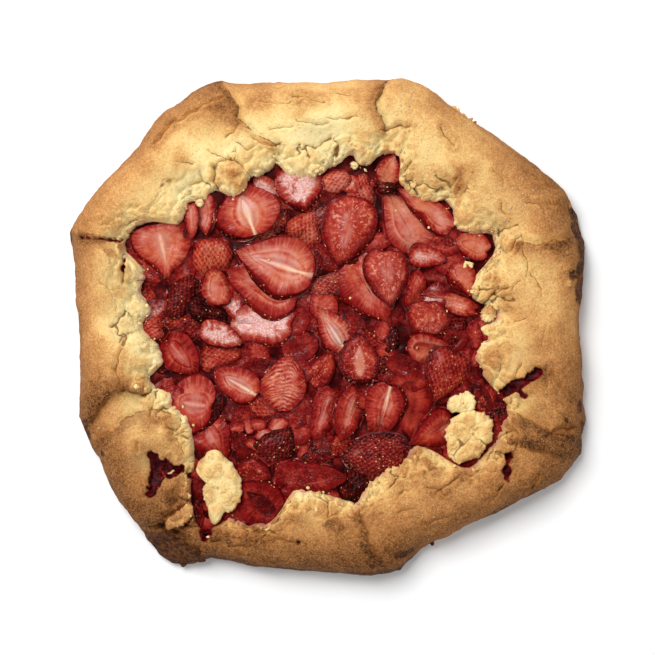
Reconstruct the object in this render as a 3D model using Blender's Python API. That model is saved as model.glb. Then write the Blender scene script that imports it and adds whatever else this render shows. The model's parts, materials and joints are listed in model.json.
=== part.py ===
"""A free-form strawberry galette, modelled at its real size for Blender 4.5.

Run it with  blender --background --python part.py  or from the text editor.
The dough is one sheet: a flat base whose border is folded up and over the fruit.
Inside lies the jammy filling, and on it sliced strawberries and loose bits of dough,
each its own object. The heap is settled from its lowest slice up, and the solids are
then made from the top down, each kept clear of what lies on it.
"""

import math

import bmesh
import bpy
import numpy as np

MM = 0.001

# ---- driving sizes, in millimetres ----
BASE_THICKNESS = 4.0  # dough under the fruit
DOUGH_THICKNESS = 4.2  # dough of the fold at its torn inner edge
WALL_BULGE_Z = 9.0  # height at which the outer wall stands furthest out
FILLING_Z = 14.2  # jam level in the middle
FILLING_EDGE_Z = 12.6
BED_Z = 13.2  # how far the lowest slices sink into the jam
POCKET_DEPTH = 9.5  # how far the filling runs in under the fold
TUCK = 2.5  # how far a slice may reach in under the fold
CUT_THICKNESS = 3.2  # a slice lying with its flat inside up
CAP_THICKNESS = 2.6  # a slice lying with its rounded outside up, at its rim
CAP_RISE = 2.8  # how much higher a rounded outside stands at its middle
LUMP_RISE = 0.8
LUMP_TUCK = 1.0
FOLD_UNDERSIDE_Z = (15.0, 19.0)  # lowest and highest place where the fold rests on the fruit
GAP = 0.32  # clearance between neighbouring solids
CRUST_STATIONS = 108
FILLING_STATIONS = 54
SLICE_STATIONS = 12
LUMP_STATIONS = 14

# ---- the outer outline, seen from above: x, y of its corners and bends ----
OUTER_BENDS = [
    (125.5, 0), (126.5, 14), (128, 40), (125.3, 55), (121, 66), (107, 78), (91, 90),
    (75, 100.5), (60, 111), (50, 119), (38, 124.5), (32, 123.3), (0, 122), (-40, 121.5),
    (-56, 123), (-68, 117), (-84, 107.5), (-88, 100), (-92, 93), (-110, 74), (-120, 62.5),
    (-128.7, 48), (-126.5, 30), (-124.5, 0), (-123.5, -20), (-124.5, -45), (-117, -61),
    (-103, -90), (-88, -110), (-80, -117.5), (-68, -118.5), (-61, -114.5), (-36, -120.5),
    (-10, -122.5), (20, -124.3), (36, -120.5), (47, -112.5), (70, -99.5), (92, -89.5),
    (120, -75), (128.3, -66), (126.5, -55), (129.5, -49), (128, -32),
]  # fmt: skip

# ---- the torn inner edge of the fold: angle in degrees, distance from the middle ----
LIP_BENDS = [
    (0.7, 79), (2.7, 86), (4.8, 83), (7.8, 77.5), (10, 74), (15, 73.5), (20.5, 80),
    (24.4, 82.3), (26.5, 91), (28.4, 96.5), (30.5, 92), (31.5, 87.2), (34.9, 82.9),
    (38.6, 81.8), (42.1, 85), (46, 88), (49, 87), (50.7, 79), (57.3, 77.8), (61.2, 78.8),
    (63.8, 79.2), (66.5, 88), (69.8, 92.7), (72.5, 88.5), (75, 87.5), (77, 83.4),
    (79.6, 83.4), (82.6, 85.7), (84.4, 81.4), (89.3, 79.5), (91, 76), (96.2, 74.4),
    (99.1, 76), (103.5, 78), (105.3, 84.5), (107.5, 80.5), (110.2, 84.2), (113.2, 83.8),
    (117.5, 80), (121.2, 77.2), (123.7, 75.7), (126.1, 78), (127.3, 84.2), (129.5, 88),
    (133.2, 90.5), (136.3, 94), (139.4, 92.2), (142, 89.8), (145, 89), (148, 100),
    (150.1, 101.5), (152.5, 108), (155.6, 109), (157, 113), (158.8, 111), (160.8, 107),
    (162, 98), (165.2, 94.1), (170.7, 93.2), (174.2, 89.5), (176, 87.2), (178.8, 92),
    (181.2, 93), (183.9, 88.2), (188, 84.9), (191.7, 83.7), (193.4, 86.3), (195.5, 93.2),
    (200, 93.5), (202.7, 85.6), (208, 87.2), (211.8, 83.5), (216, 85.2), (222, 89.6),
    (226.5, 97), (228.5, 103), (231, 107), (235, 112), (238, 115.5), (240.5, 116),
    (242, 111), (243.4, 107.3), (247, 107.5), (251, 103.5), (253.5, 100.5), (255, 91),
    (256.5, 84), (263, 81.6), (268, 84), (273.3, 86.1), (277.8, 88.8), (281.7, 83.7),
    (287.5, 79.7), (292.6, 78), (297.9, 79.2), (300.6, 76.7), (306.1, 73), (310.2, 80.5),
    (313.2, 89), (316.2, 98), (322.2, 101.2), (330.1, 100.3), (333, 103), (335.2, 100.2),
    (338, 99), (340, 91), (342.4, 82.9), (345.6, 79.5), (349.3, 75.3), (353.3, 77.5),
    (355.8, 82), (358.5, 78),
]  # fmt: skip

# ---- the top of the rim: angle, height of the fold's crest ----
CREST_BENDS = [
    (0, 26), (25, 26), (45, 28), (70, 28), (95, 27), (113, 24), (124, 23.5), (140, 28),
    (165, 27), (185, 27), (206, 24.5), (216, 28), (226, 26), (234, 20), (243, 24),
    (262, 27), (277, 28), (288, 25), (305, 28), (325, 27), (336, 24), (348, 27),
]  # fmt: skip

# ---- corners where the wall leans in and its foot shows from above: angle, spread, lean ----
SKIRTS = [(119, 8, 1.0), (160, 4, 0.5), (206, 5, 0.6), (235, 6, 1.4), (292, 5, 0.8),
          (331, 5, 0.9), (341, 3, 0.7), (21, 6, 0.8)]  # fmt: skip

# ---- swells and hollows of the fold: x, y, radius, height ----
SWELLS = [
    (-72, 83, 10, 2.4), (-81, 69, 9, -2.4), (-86, 60, 9, 1.2), (-108, 33, 10, 2.6),
    (-111, 5, 8, -2.2), (-99, 9, 10, 1.8), (-101, -15, 13, 2.2), (-104, -38, 8, -4.0),
    (-86, -50, 12, 2.6), (-93, -71, 9, -2.8), (-76, -83, 8, 1.2), (-16, -95, 8, 1.2),
    (-8, -98, 5, -2.2), (8, -95, 10, 2.4), (25, -96, 7, -1.8), (50, -69, 11, 2.2),
    (102, -34, 8, 2.6), (100, -45, 6, -3.4), (100, -57, 8, 2.8), (100, -16, 8, -2.2),
    (86, -15, 8, 1.6), (90, 28, 13, 1.4), (72, 60, 9, 1.4), (68, 76, 7, 1.2),
    (52, 84, 6, -1.8), (44, 79, 7, 1.6), (-5, 93, 9, -2.2), (-42, 97, 7, 1.6),
    (-58, 100, 8, -2.0),
]  # fmt: skip

# ---- the slices, lowest first: x, y, length, width, heading of the tip, taper, side up ----
# "cut" shows the flat inside of the berry, and "cap" its rounded outside.
SLICES = [
    (-33, 63, 26, 28, 100, 0.20, "cut"),
    (-62, 56, 21, 13, -80, 0.30, "cut"),
    (-58, 33, 22, 20, -90, 0.25, "cap"),
    (-86, -1, 18, 13, 180, 0.20, "cap"),
    (-71, 1, 23, 18, 190, 0.20, "cap"),
    (-54, -15, 23, 14, 10, 0.15, "cap"),
    (-34, 1, 35, 23, 180, 0.20, "cut"),
    (-31, 47, 28, 15, 200, 0.15, "cap"),
    (-11, 49, 20, 18, 60, 0.20, "cap"),
    (16, 66, 20, 15, 80, 0.15, "cap"),
    (37, 55, 38, 22, 119, 0.60, "cut"),
    (50, 34, 18, 12, -10, 0.25, "cut"),
    (44, 17, 21, 11, 85, 0.10, "cut"),
    (61, 12, 28, 10, 165, 0.20, "cut"),
    (20, 19, 35, 27, -60, 0.20, "cut"),
    (68, 23, 18, 14, -60, 0.25, "cut"),
    (-3, -21, 21, 14, 55, 0.25, "cut"),
    (-56, -58, 25, 20, -60, 0.25, "cut"),
    (42, -40, 33, 22, -85, 0.25, "cut"),
    (14, -77, 24, 19, -120, 0.20, "cap"),
    (53, -53, 24, 17, 210, 0.35, "cut"),
    (31, 78, 17, 12, 75, 0.35, "cut"),
    (-82, 37, 30, 28, -78, 0.45, "cut"),
    (-41, 58, 27, 31, 110, 0.10, "cut"),
    (-68, 53, 17, 7.5, -88, 0.15, "cap"),
    (-13, 69, 24, 25, -80, 0.25, "cut"),
    (5, 72.5, 14, 11, 20, 0.15, "cap"),
    (9.5, 47, 34, 26, -105, 0.25, "cap"),
    (49, 58, 32, 13, 142, 0.30, "cut"),
    (31, 69.5, 13, 8, 10, 0.10, "cap"),
    (72, 40, 17, 14, 160, 0.10, "cut"),
    (30, 25, 27, 21, -85, 0.25, "cap"),
    (50.5, 2, 22, 20, -90, 0.20, "cap"),
    (51, -11, 22, 15, 0, 0.20, "cut"),
    (59, -25, 27, 21, -110, 0.20, "cap"),
    (2, -2, 25, 16, 122, 0.20, "cut"),
    (16, -17, 25, 19, 90, 0.15, "cut"),
    (-73, 14, 23, 16, -125, 0.20, "cap"),
    (-58, 7, 22, 17, -45, 0.20, "cap"),
    (-56, 20, 18, 15, 100, 0.20, "cut"),
    (-53, -5, 21, 13, -20, 0.15, "cut"),
    (-73, -15, 25, 18, -50, 0.15, "cut"),
    (-67, -39, 28, 21, -80, 0.20, "cut"),
    (-45, -29, 24, 17, 150, 0.20, "cut"),
    (-21, -28, 27, 23, 85, 0.20, "cap"),
    (-26, -61, 25, 20, 50, 0.30, "cap"),
    (-2, -44, 26, 15, -110, 0.20, "cut"),
    (11, -44, 27, 15, -110, 0.20, "cut"),
    (28, -43, 29, 20, -105, 0.30, "cut"),
    (-9, -76, 35, 17, 0, 0.15, "cut"),
    (24, -65, 31, 22, 180, 0.15, "cap"),
    (-38, -74, 18, 19, 80, 0.15, "cut"),
    (-34, -88, 26, 22, 140, 0.15, "cut"),
    (-32, 20, 37, 27, 158, 0.30, "cut"),
    (-27, 31, 40, 30, 161, 0.35, "cut"),
]  # fmt: skip

# ---- bits of dough that broke off the fold and lie on the fruit: round lobes x, y, radius ----
LOOSE_DOUGH = {
    "dough_lump_east": ([(70, -55, 10), (75, -52, 9), (68, -61, 7.5), (80, -51.5, 5)], 6.5),
    "dough_lump_west": ([(-59, -71, 7), (-54, -80, 8.5), (-52.5, -85, 8), (-58, -93, 3)], 6.0),
    "dough_crumb_east": ([(69.5, -37.5, 4.8), (66, -38.5, 4.2), (62, -41, 2.6)], 5.0),
}

MATERIALS = {
    "crust": ((0.72, 0.47, 0.20), 0.75),
    "dough": ((0.86, 0.70, 0.40), 0.80),
    "filling": ((0.25, 0.015, 0.012), 0.22),
    "cut": ((0.60, 0.10, 0.07), 0.30),
    "cap": ((0.36, 0.02, 0.02), 0.28),
}


# ---------------------------------------------------------------- outlines
def wrap_curve(bends, angles):
    """A closed curve through (angle, value) bends, read at these angles."""
    table = sorted(bends)
    at = np.array([a for a, _ in table], float)
    value = np.array([v for _, v in table], float)
    return np.interp(angles, at, value, period=360.0)


def outer_radius(angles):
    """Distance to the outer outline along each angle, with straight sides between bends."""
    points = np.array(OUTER_BENDS, float)
    nexts = np.roll(points, -1, axis=0)
    found = []
    for angle in np.radians(angles):
        way = np.array([math.cos(angle), math.sin(angle)])
        side = np.array([-way[1], way[0]])
        first, second = points @ side, nexts @ side
        share = first / np.where(first == second, 1e-9, first - second)
        reach = points @ way + share * (nexts @ way - points @ way)
        crosses = (share >= 0) & (share <= 1) & (reach > 0)
        found.append(reach[crosses].max())
    return np.array(found)


def lip_radius(angles):
    return wrap_curve(LIP_BENDS, angles)


def evenly(count):
    return np.arange(count) * 360.0 / count


def ring_of(radius, z, angles):
    """A ring of points at these distances and heights, as (count, 3)."""
    turn = np.radians(angles)
    z = np.broadcast_to(z, radius.shape)
    return np.stack([radius * np.cos(turn), radius * np.sin(turn), z], axis=1)


def smoothed(values, reach):
    """The running mean of a closed row of values over reach neighbours each way."""
    return sum(np.roll(values, k) for k in range(-reach, reach + 1)) / (2 * reach + 1)


def berry_outline(length, width, taper, count):
    """Outline of a lengthwise strawberry slice, its tip towards +X, centred on its box."""
    turn = np.radians(evenly(count))
    return np.stack(
        [0.5 * length * np.cos(turn), 0.5 * width * np.sin(turn) * (1 - taper * np.cos(turn))],
        axis=1,
    )


def lobes_outline(lobes, centre, count):
    """Outline of round lobes run together, as seen from centre."""
    reach = np.zeros(count)
    for k, angle in enumerate(np.radians(evenly(count))):
        way = np.array([math.cos(angle), math.sin(angle)])
        for x, y, radius in lobes:
            offset = np.array([x, y]) - centre
            along = offset @ way
            inside = radius**2 - (offset @ offset - along**2)
            if inside > 0:
                reach[k] = max(reach[k], along + math.sqrt(inside))
    return ring_of(reach, 0.0, evenly(count))[:, :2]


def keep_inside_fold(plan, tuck):
    """Pulls plan points in so that none reaches more than tuck behind the fold's edge."""
    reach = np.hypot(plan[:, 0], plan[:, 1])
    angles = np.degrees(np.arctan2(plan[:, 1], plan[:, 0]))
    most = np.min([lip_radius(angles + d) for d in (-2.0, 0.0, 2.0)], axis=0) + tuck
    return plan * np.minimum(1.0, most / reach)[:, None]


# ---------------------------------------------------------------- heights seen from above
class HeightMap:
    """One height for each square millimetre, seen from above."""

    half = 140

    def __init__(self, height):
        side = 2 * self.half + 1
        self.height = np.full((side, side), float(height))

    def paint(self, points, triangles, choose):
        """Draws triangles into the map; choose picks between the old height and the new."""
        for a, b, c in points[np.asarray(triangles)]:
            area = (b[0] - a[0]) * (c[1] - a[1]) - (c[0] - a[0]) * (b[1] - a[1])
            if abs(area) < 1e-6:
                continue
            low = np.floor(np.min([a, b, c], axis=0)[:2]).astype(int)
            high = np.ceil(np.max([a, b, c], axis=0)[:2]).astype(int) + 1
            x, y = np.meshgrid(np.arange(low[0], high[0]), np.arange(low[1], high[1]), indexing="ij")
            second = ((x - a[0]) * (c[1] - a[1]) - (c[0] - a[0]) * (y - a[1])) / area
            third = ((b[0] - a[0]) * (y - a[1]) - (x - a[0]) * (b[1] - a[1])) / area
            inside = (second >= -1e-6) & (third >= -1e-6) & (second + third <= 1 + 1e-6)
            z = a[2] + second * (b[2] - a[2]) + third * (c[2] - a[2])
            rows = slice(low[0] + self.half, high[0] + self.half)
            columns = slice(low[1] + self.half, high[1] + self.half)
            patch = self.height[rows, columns]
            patch[inside] = choose(patch[inside], z[inside])

    def read(self, plan):
        cell = np.rint(plan[..., :2]).astype(int) + self.half
        return self.height[cell[..., 0], cell[..., 1]]

    def spread_low(self):
        """A map whose cells each hold the lowest of this map's nine cells around them."""
        spread = HeightMap(0.0)
        moves = [(i, k) for i in (-1, 0, 1) for k in (-1, 0, 1)]
        spread.height = np.min([np.roll(self.height, move, axis=(0, 1)) for move in moves], axis=0)
        return spread


def weights_over_triangle(steps):
    """Barycentric weights of an even net of points over a triangle."""
    corners = [(i, k, steps - i - k) for i in range(steps + 1) for k in range(steps + 1 - i)]
    return np.array(corners) / float(steps)


NET = weights_over_triangle(7)


def lower_clear(points, triangles, ceiling):
    """Lowers a sheet's corners until no point of its triangles is above ceiling less GAP."""
    triangles = np.asarray(triangles)
    z = points[:, 2].copy()
    spots = np.einsum("sw,twp->tsp", NET, points[triangles][..., :2])
    allowed = ceiling.spread_low().read(spots) - GAP
    share = NET / (NET**2).sum(axis=1)[:, None]
    for _ in range(40):
        over = np.maximum(np.einsum("sw,tw->ts", NET, z[triangles]) - allowed, 0)
        drop = np.zeros_like(z)
        for corner in range(3):
            np.maximum.at(drop, triangles[:, corner], (over * share[:, corner]).max(axis=1))
        z -= 0.4 * drop
    over = (np.einsum("sw,tw->ts", NET, z[triangles]) - allowed).max()
    return np.column_stack([points[:, :2], z - max(0.0, over)])


# ---------------------------------------------------------------- solids
def band_triangles(lower, upper, count):
    """Two triangles for each quad between two rings given by their first point's index."""
    made = []
    for k in range(count):
        n = (k + 1) % count
        made += [(lower + k, lower + n, upper + n), (lower + k, upper + n, upper + k)]
    return made


def fan_triangles(centre, ring, count):
    return [(centre, ring + k, ring + (k + 1) % count) for k in range(count)]


def material(name):
    found = bpy.data.materials.get(name)
    if found:
        return found
    made = bpy.data.materials.new(name)
    made.use_nodes = True
    colour, roughness = MATERIALS[name]
    shader = made.node_tree.nodes["Principled BSDF"]
    shader.inputs["Base Color"].default_value = (*colour, 1)
    shader.inputs["Roughness"].default_value = roughness
    shader.inputs["Metallic"].default_value = 0.0
    return made


def stack_solid(name, low_centre, rings, high_centre, finish):
    """A closed solid from rings stacked from its lowest face round to its highest."""
    mesh = bpy.data.meshes.new(name)
    bm = bmesh.new()
    bottom = bm.verts.new([v * MM for v in low_centre])
    layers = [[bm.verts.new([v * MM for v in point]) for point in ring] for ring in rings]
    top = bm.verts.new([v * MM for v in high_centre])
    count = len(layers[0])
    for k in range(count):
        n = (k + 1) % count
        bm.faces.new((bottom, layers[0][n], layers[0][k]))
        for lower, upper in zip(layers, layers[1:]):
            bm.faces.new((lower[k], lower[n], upper[n], upper[k]))
        bm.faces.new((top, layers[-1][k], layers[-1][n]))
    bmesh.ops.triangulate(bm, faces=bm.faces[:], quad_method="FIXED")
    bm.to_mesh(mesh)
    bm.free()
    mesh.shade_smooth()
    mesh.set_sharp_from_angle(angle=math.radians(50))
    mesh.materials.append(material(finish))
    obj = bpy.data.objects.new(name, mesh)
    bpy.context.scene.collection.objects.link(obj)
    return obj


class Leaf:
    """A thin piece of the heap, a slice or a lump of dough: its outline and how it lies."""

    inner = 0.6  # the inner rings' share of the outline
    lower_rim = 0.93  # the underside's rim, a little inside the outline

    def __init__(self, name, centre, outline, thickness, rise, finish, tuck):
        self.name, self.finish = name, finish
        self.thickness, self.rise = thickness, rise
        self.rim = keep_inside_fold(centre + outline, tuck)
        self.middle = self.rim.mean(axis=0)
        self.count = len(outline)
        self.slope = np.zeros(3)
        rim, inner = 1, 1 + self.count
        self.sheet = band_triangles(rim, inner, self.count) + fan_triangles(0, inner, self.count)

    def plan(self, shares):
        """The middle, then a ring of plan points for each share of the outline."""
        rings = [self.middle + share * (self.rim - self.middle) for share in shares]
        return np.vstack([self.middle[None], *rings])

    def level(self, plan):
        """Height of the leaf's tilted plane: its top, without the rise in the middle."""
        return np.column_stack([plan[:, :2], np.ones(len(plan))]) @ self.slope

    def top(self):
        """Points of the top face as it would lie with nothing on it: middle, rim, inner ring."""
        plan = self.plan((1.0, self.inner))
        bulge = np.concatenate([[1.0], np.zeros(self.count), np.full(self.count, 1 - self.inner**2)])
        return np.column_stack([plan, self.level(plan) + self.rise * bulge])

    def settle(self, heap):
        """Leans the leaf on the heap below it, and adds it to the heap."""
        plan = self.plan((0.35, 0.65, 0.92))
        frame = np.column_stack([plan, np.ones(len(plan))])
        self.slope = np.linalg.lstsq(frame, heap.read(plan), rcond=None)[0]
        self.slope[2] += self.thickness
        heap.paint(self.top(), self.sheet, np.maximum)

    def build(self, ceiling):
        """Makes the solid below everything that lies on it, then lowers ceiling to it."""
        n = self.count
        top = lower_clear(self.top(), self.sheet, ceiling)
        lower_plan = self.plan((self.lower_rim, self.inner))
        along = (self.lower_rim - self.inner) / (1 - self.inner)
        over_rim = top[1 + n :, 2] + along * (top[1 : 1 + n, 2] - top[1 + n :, 2])
        above = np.concatenate([top[:1, 2], over_rim, top[1 + n :, 2]])
        free = self.level(lower_plan) - self.thickness
        under = np.column_stack([lower_plan, np.minimum(free, above - 0.8 * self.thickness)])
        rings = [under[1 + n :], under[1 : 1 + n], top[1 : 1 + n], top[1 + n :]]
        stack_solid(self.name, under[0], rings, top[0], self.finish)
        shown = np.vstack([under, top[1 : 1 + n]])
        ceiling.paint(shown, self.sheet + band_triangles(1, 1 + 2 * n, n), np.minimum)


def make_leaves():
    """All pieces of the heap, lowest first."""
    leaves = []
    for number, (x, y, length, width, heading, taper, side) in enumerate(SLICES, 1):
        turn = math.radians(heading)
        axes = np.array([[math.cos(turn), math.sin(turn)], [-math.sin(turn), math.cos(turn)]])
        outline = berry_outline(length, width, taper, SLICE_STATIONS) @ axes
        thickness, rise = CUT_THICKNESS, 0.0
        if side == "cap":
            thickness, rise = CAP_THICKNESS, CAP_RISE * min(1.0, width / 18)
        name = f"slice_{number:02d}"
        leaves.append(Leaf(name, np.array([x, y]), outline, thickness, rise, side, TUCK))
    for name, (lobes, thickness) in LOOSE_DOUGH.items():
        size = np.array([r * r for _, _, r in lobes])
        centre = np.array([(x, y) for x, y, _ in lobes]).T @ size / size.sum()
        outline = lobes_outline(lobes, centre, LUMP_STATIONS)
        leaves.append(Leaf(name, centre, outline, thickness, LUMP_RISE, "dough", LUMP_TUCK))
    return leaves


def add_filling(ceiling):
    """The jammy filling: a low crowned body under the slices that runs in under the fold."""
    n = FILLING_STATIONS
    angles = evenly(n)
    nearby = [lip_radius(angles + d) for d in np.arange(-5, 5.1, 1.0)]
    reach = np.min(nearby, axis=0) + POCKET_DEPTH - 2.0
    fall = FILLING_Z - FILLING_EDGE_Z
    shares = (1.0, 0.85, 0.7, 0.55, 0.4, 0.2)
    tops = [ring_of(reach * share, FILLING_Z - fall * share**4, angles) for share in shares]
    sheet = fan_triangles(0, 1 + n * (len(shares) - 1), n)
    for k in range(len(shares) - 1):
        sheet += band_triangles(1 + n * k, 1 + n * (k + 1), n)
    top = lower_clear(np.vstack([[(0, 0, FILLING_Z)], *tops]), sheet, ceiling)
    floor_z = BASE_THICKNESS + GAP
    rings = [ring_of(reach, floor_z, angles), *np.split(top[1:], len(shares))]
    stack_solid("filling", (0, 0, floor_z), rings, top[0], "filling")


def swell_at(x, y):
    """The height added at each place by the fold's swells and hollows."""
    total = np.zeros_like(x)
    for cx, cy, radius, height in SWELLS:
        total += height * np.exp(-((x - cx) ** 2 + (y - cy) ** 2) / radius**2)
    return total


def lean_at(angles):
    """How much the wall leans in at each angle: 0 upright, 1 or more at a flat corner."""
    total = np.zeros_like(angles)
    for at, spread, lean in SKIRTS:
        away = (angles - at + 180) % 360 - 180
        total += lean * np.exp(-((away / spread) ** 2))
    return total


def add_crust(heap, ceiling):
    """The one sheet of dough: base, outer wall, crest, and the fold down to its torn edge."""
    n = CRUST_STATIONS
    angles = evenly(n)
    outer = outer_radius(angles)
    lip = np.mean([lip_radius(angles + d) for d in (-1.0, 0.0, 1.0)], axis=0)
    crest = wrap_curve(CREST_BENDS, angles)
    lean = lean_at(angles)
    back = lip + POCKET_DEPTH
    rest = heap.read(ring_of(lip - 1.0, 0.0, angles))
    under = smoothed(np.clip(rest, *FOLD_UNDERSIDE_Z), 2)
    z_lip = under + DOUGH_THICKNESS

    def across(share, fall):
        """A ring on the fold: share of the way from wall to lip, fall from crest to lip."""
        start = outer - 11.0 - 5.0 * lean
        radius = start + (lip - start) * share
        flat = ring_of(radius, 0.0, angles)
        height = crest + (z_lip - crest) * fall + swell_at(flat[:, 0], flat[:, 1])
        return ring_of(radius, np.maximum(height, z_lip - 1.0), angles)

    rings = [
        ring_of(outer * 0.5, 0.0, angles),
        ring_of(outer - 3.5, 0.0, angles),
        ring_of(outer - 0.8 + 0.8 * np.minimum(lean, 1), 3.5, angles),
        ring_of(outer - 3.0 * lean, WALL_BULGE_Z, angles),
        ring_of(outer - 1.6 - 4.5 * lean, 0.57 * crest, angles),
        ring_of(outer - 5.0 - 5.0 * lean, 0.82 * crest, angles),
        across(0.0, 0.04),
        across(0.18, 0.0),
        across(0.38, 0.16),
        across(0.56, 0.40),
        across(0.73, 0.66),
        across(0.88, 0.90),
        ring_of(lip + 1.0, z_lip - 0.7, angles),
        ring_of(lip, under + 0.5 * DOUGH_THICKNESS, angles),
        ring_of(lip + 1.6, under, angles),
        ring_of(back, FILLING_EDGE_Z + 1.2, angles),
        ring_of(back, BASE_THICKNESS, angles),
    ]
    stack_solid("crust", (0, 0, 0), rings, (0, 0, BASE_THICKNESS), "crust")
    fold = np.vstack(rings[-4:-1])
    ceiling.paint(fold, band_triangles(0, n, n) + band_triangles(n, 2 * n, n), np.minimum)


def main():
    for obj in list(bpy.data.objects):
        bpy.data.objects.remove(obj, do_unlink=True)
    leaves = make_leaves()
    heap = HeightMap(BED_Z)
    for leaf in leaves:
        leaf.settle(heap)
    ceiling = HeightMap(99.0)
    add_crust(heap, ceiling)
    for leaf in reversed(leaves):
        leaf.build(ceiling)
    add_filling(ceiling)


main()
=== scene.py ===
import json
import math
import random

import bpy
import numpy as np
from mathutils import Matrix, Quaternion, Vector
from mathutils.bvhtree import BVHTree

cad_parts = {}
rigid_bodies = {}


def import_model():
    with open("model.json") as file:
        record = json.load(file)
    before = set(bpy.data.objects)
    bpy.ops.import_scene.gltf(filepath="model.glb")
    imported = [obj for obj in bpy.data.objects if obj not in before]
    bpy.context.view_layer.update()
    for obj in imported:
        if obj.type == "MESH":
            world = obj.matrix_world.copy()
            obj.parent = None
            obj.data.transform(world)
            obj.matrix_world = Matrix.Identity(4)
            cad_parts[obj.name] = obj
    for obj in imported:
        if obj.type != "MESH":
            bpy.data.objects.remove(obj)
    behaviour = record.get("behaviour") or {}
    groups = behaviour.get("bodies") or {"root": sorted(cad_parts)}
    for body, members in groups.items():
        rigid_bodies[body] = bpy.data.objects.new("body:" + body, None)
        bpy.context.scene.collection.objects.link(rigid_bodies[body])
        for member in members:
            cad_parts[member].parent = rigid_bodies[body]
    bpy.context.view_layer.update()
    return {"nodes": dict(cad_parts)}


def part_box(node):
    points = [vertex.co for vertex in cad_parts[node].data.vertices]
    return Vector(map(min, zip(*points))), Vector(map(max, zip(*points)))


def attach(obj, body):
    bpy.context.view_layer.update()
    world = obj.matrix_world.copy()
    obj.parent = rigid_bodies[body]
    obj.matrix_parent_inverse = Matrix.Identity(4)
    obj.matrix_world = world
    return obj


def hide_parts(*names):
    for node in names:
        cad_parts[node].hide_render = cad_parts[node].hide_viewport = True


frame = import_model()
mm = 0.001  # shapes below are worked out in millimetres
down = Vector((0, 0, -1))
farOff = 9.0  # millimetres from a crack, a crease painted in shade, a hole or a burn: no mark of it shows there


# noise and distances, all on arrays of points
def hashOf(x, y, z, seed):
    mixed = x * 374761393 + y * 668265263 + z * 1440662683 + seed * 974634777
    mixed = (mixed ^ (mixed >> 13)) & 0xFFFFFFFF
    mixed = (mixed * 1274126177) & 0xFFFFFFFF
    return ((mixed ^ (mixed >> 16)) & 0xFFFFFF) / 0xFFFFFF


def softNoise(points, size, seed):
    # smooth random field between -1 and 1, its bumps about size across
    spot = points / size
    cell = np.floor(spot).astype(np.int64)
    part = spot - cell
    part = part * part * (3 - 2 * part)
    total = np.zeros(len(points))
    for dx in (0, 1):
        for dy in (0, 1):
            for dz in (0, 1):
                weight = np.abs(1 - dx - part[:, 0]) * np.abs(1 - dy - part[:, 1])
                weight = weight * np.abs(1 - dz - part[:, 2])
                total += weight * hashOf(cell[:, 0] + dx, cell[:, 1] + dy, cell[:, 2] + dz, seed)
    return 2 * total - 1


def roughNoise(points, size, seed, octaves=4, gain=0.5):
    # several softNoise fields, each half as large as the one before
    total = np.zeros(len(points))
    for k in range(octaves):
        total += gain**k * softNoise(points, size / 2**k, seed + 17 * k)
    return total


def cellDistance(points, size, seed):
    # distances to the nearest and second nearest of random points, one in each square of this size
    spot = points[:, :2] / size
    cell = np.floor(spot).astype(np.int64)
    near = np.full(len(points), 9.0)
    second = near.copy()
    for dx in (-1, 0, 1):
        for dy in (-1, 0, 1):
            cx, cy = cell[:, 0] + dx, cell[:, 1] + dy
            px, py = cx + hashOf(cx, cy, 1, seed), cy + hashOf(cx, cy, 2, seed)
            away = np.hypot(px - spot[:, 0], py - spot[:, 1])
            second = np.minimum(second, np.maximum(near, away))
            near = np.minimum(near, away)
    return near * size, second * size


def crumbled(flat, size, seed):
    # knobs of dough parted by grooves, some of them open: their height, and how near an open groove is
    shift = np.column_stack([softNoise(flat, size * 0.5, seed + k) for k in (1, 2, 3)])
    shift += 0.5 * np.column_stack([softNoise(flat, size * 0.2, seed + k) for k in (4, 5, 6)])
    near, second = cellDistance(flat + 0.18 * size * shift, size, seed)
    gap = second - near
    parted = smoothStep(-0.1, 0.4, softNoise(flat, size * 1.4, seed + 7))
    height = 0.12 * size * (smoothStep(0, 0.42 * size, gap) - 0.7) - 1.1 * parted * smoothStep(1.5, 0, gap)
    return height, gap + 3 * (1 - parted)


def bulges(angle, count, seed):
    # round bulges of uneven size side by side round the pie: 0 in the notches between them
    def border(k):
        return k + 0.7 * (hashOf(k % count, 0, 1, seed) - 0.5)

    spot = angle / 360 * count
    cell = np.floor(spot).astype(np.int64)
    cell = cell + (spot >= border(cell + 1)) - (spot < border(cell))
    low, high = border(cell), border(cell + 1)
    across = 2 * (spot - low) / (high - low) - 1
    return (0.35 + 0.65 * hashOf(cell % count, 0, 2, seed)) * np.sqrt(np.clip(1 - across**2, 0, 1))


def smoothStep(low, high, value):
    share = np.clip((value - low) / (high - low), 0, 1)
    return share * share * (3 - 2 * share)


def bell(away, width):
    # 1 in the middle, fading to almost nothing at twice this width
    return np.exp(-((away / width) ** 2))


def polar(angle, radius):
    turn = math.radians(angle)
    return np.array([radius * math.cos(turn), radius * math.sin(turn)])


def distanceTo(points, angle, radius):
    # distance of each point, seen from above, to the spot at this angle and radius
    return np.hypot(*(points[:, :2] - polar(angle, radius)).T)


def lineDistance(points, line):
    # signed distance to a chain of points: positive on its left, and how far along it the nearest spot is
    best = np.full(len(points), 1e9)
    signed = best.copy()
    along = np.zeros(len(points))
    walked = 0.0
    for a, b in zip(line[:-1], line[1:]):
        step = b - a
        length = math.hypot(*step)
        way = step / length
        offset = points[:, :2] - a
        at = np.clip(offset @ way, 0, length)
        nearest = offset - at[:, None] * way
        away = np.hypot(nearest[:, 0], nearest[:, 1])
        left = way[0] * offset[:, 1] - way[1] * offset[:, 0]
        closer = away < best
        best = np.where(closer, away, best)
        signed = np.where(closer, np.where(left > 0, away, -away), signed)
        along = np.where(closer, walked + at, along)
        walked += length
    return signed, along, walked


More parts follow.
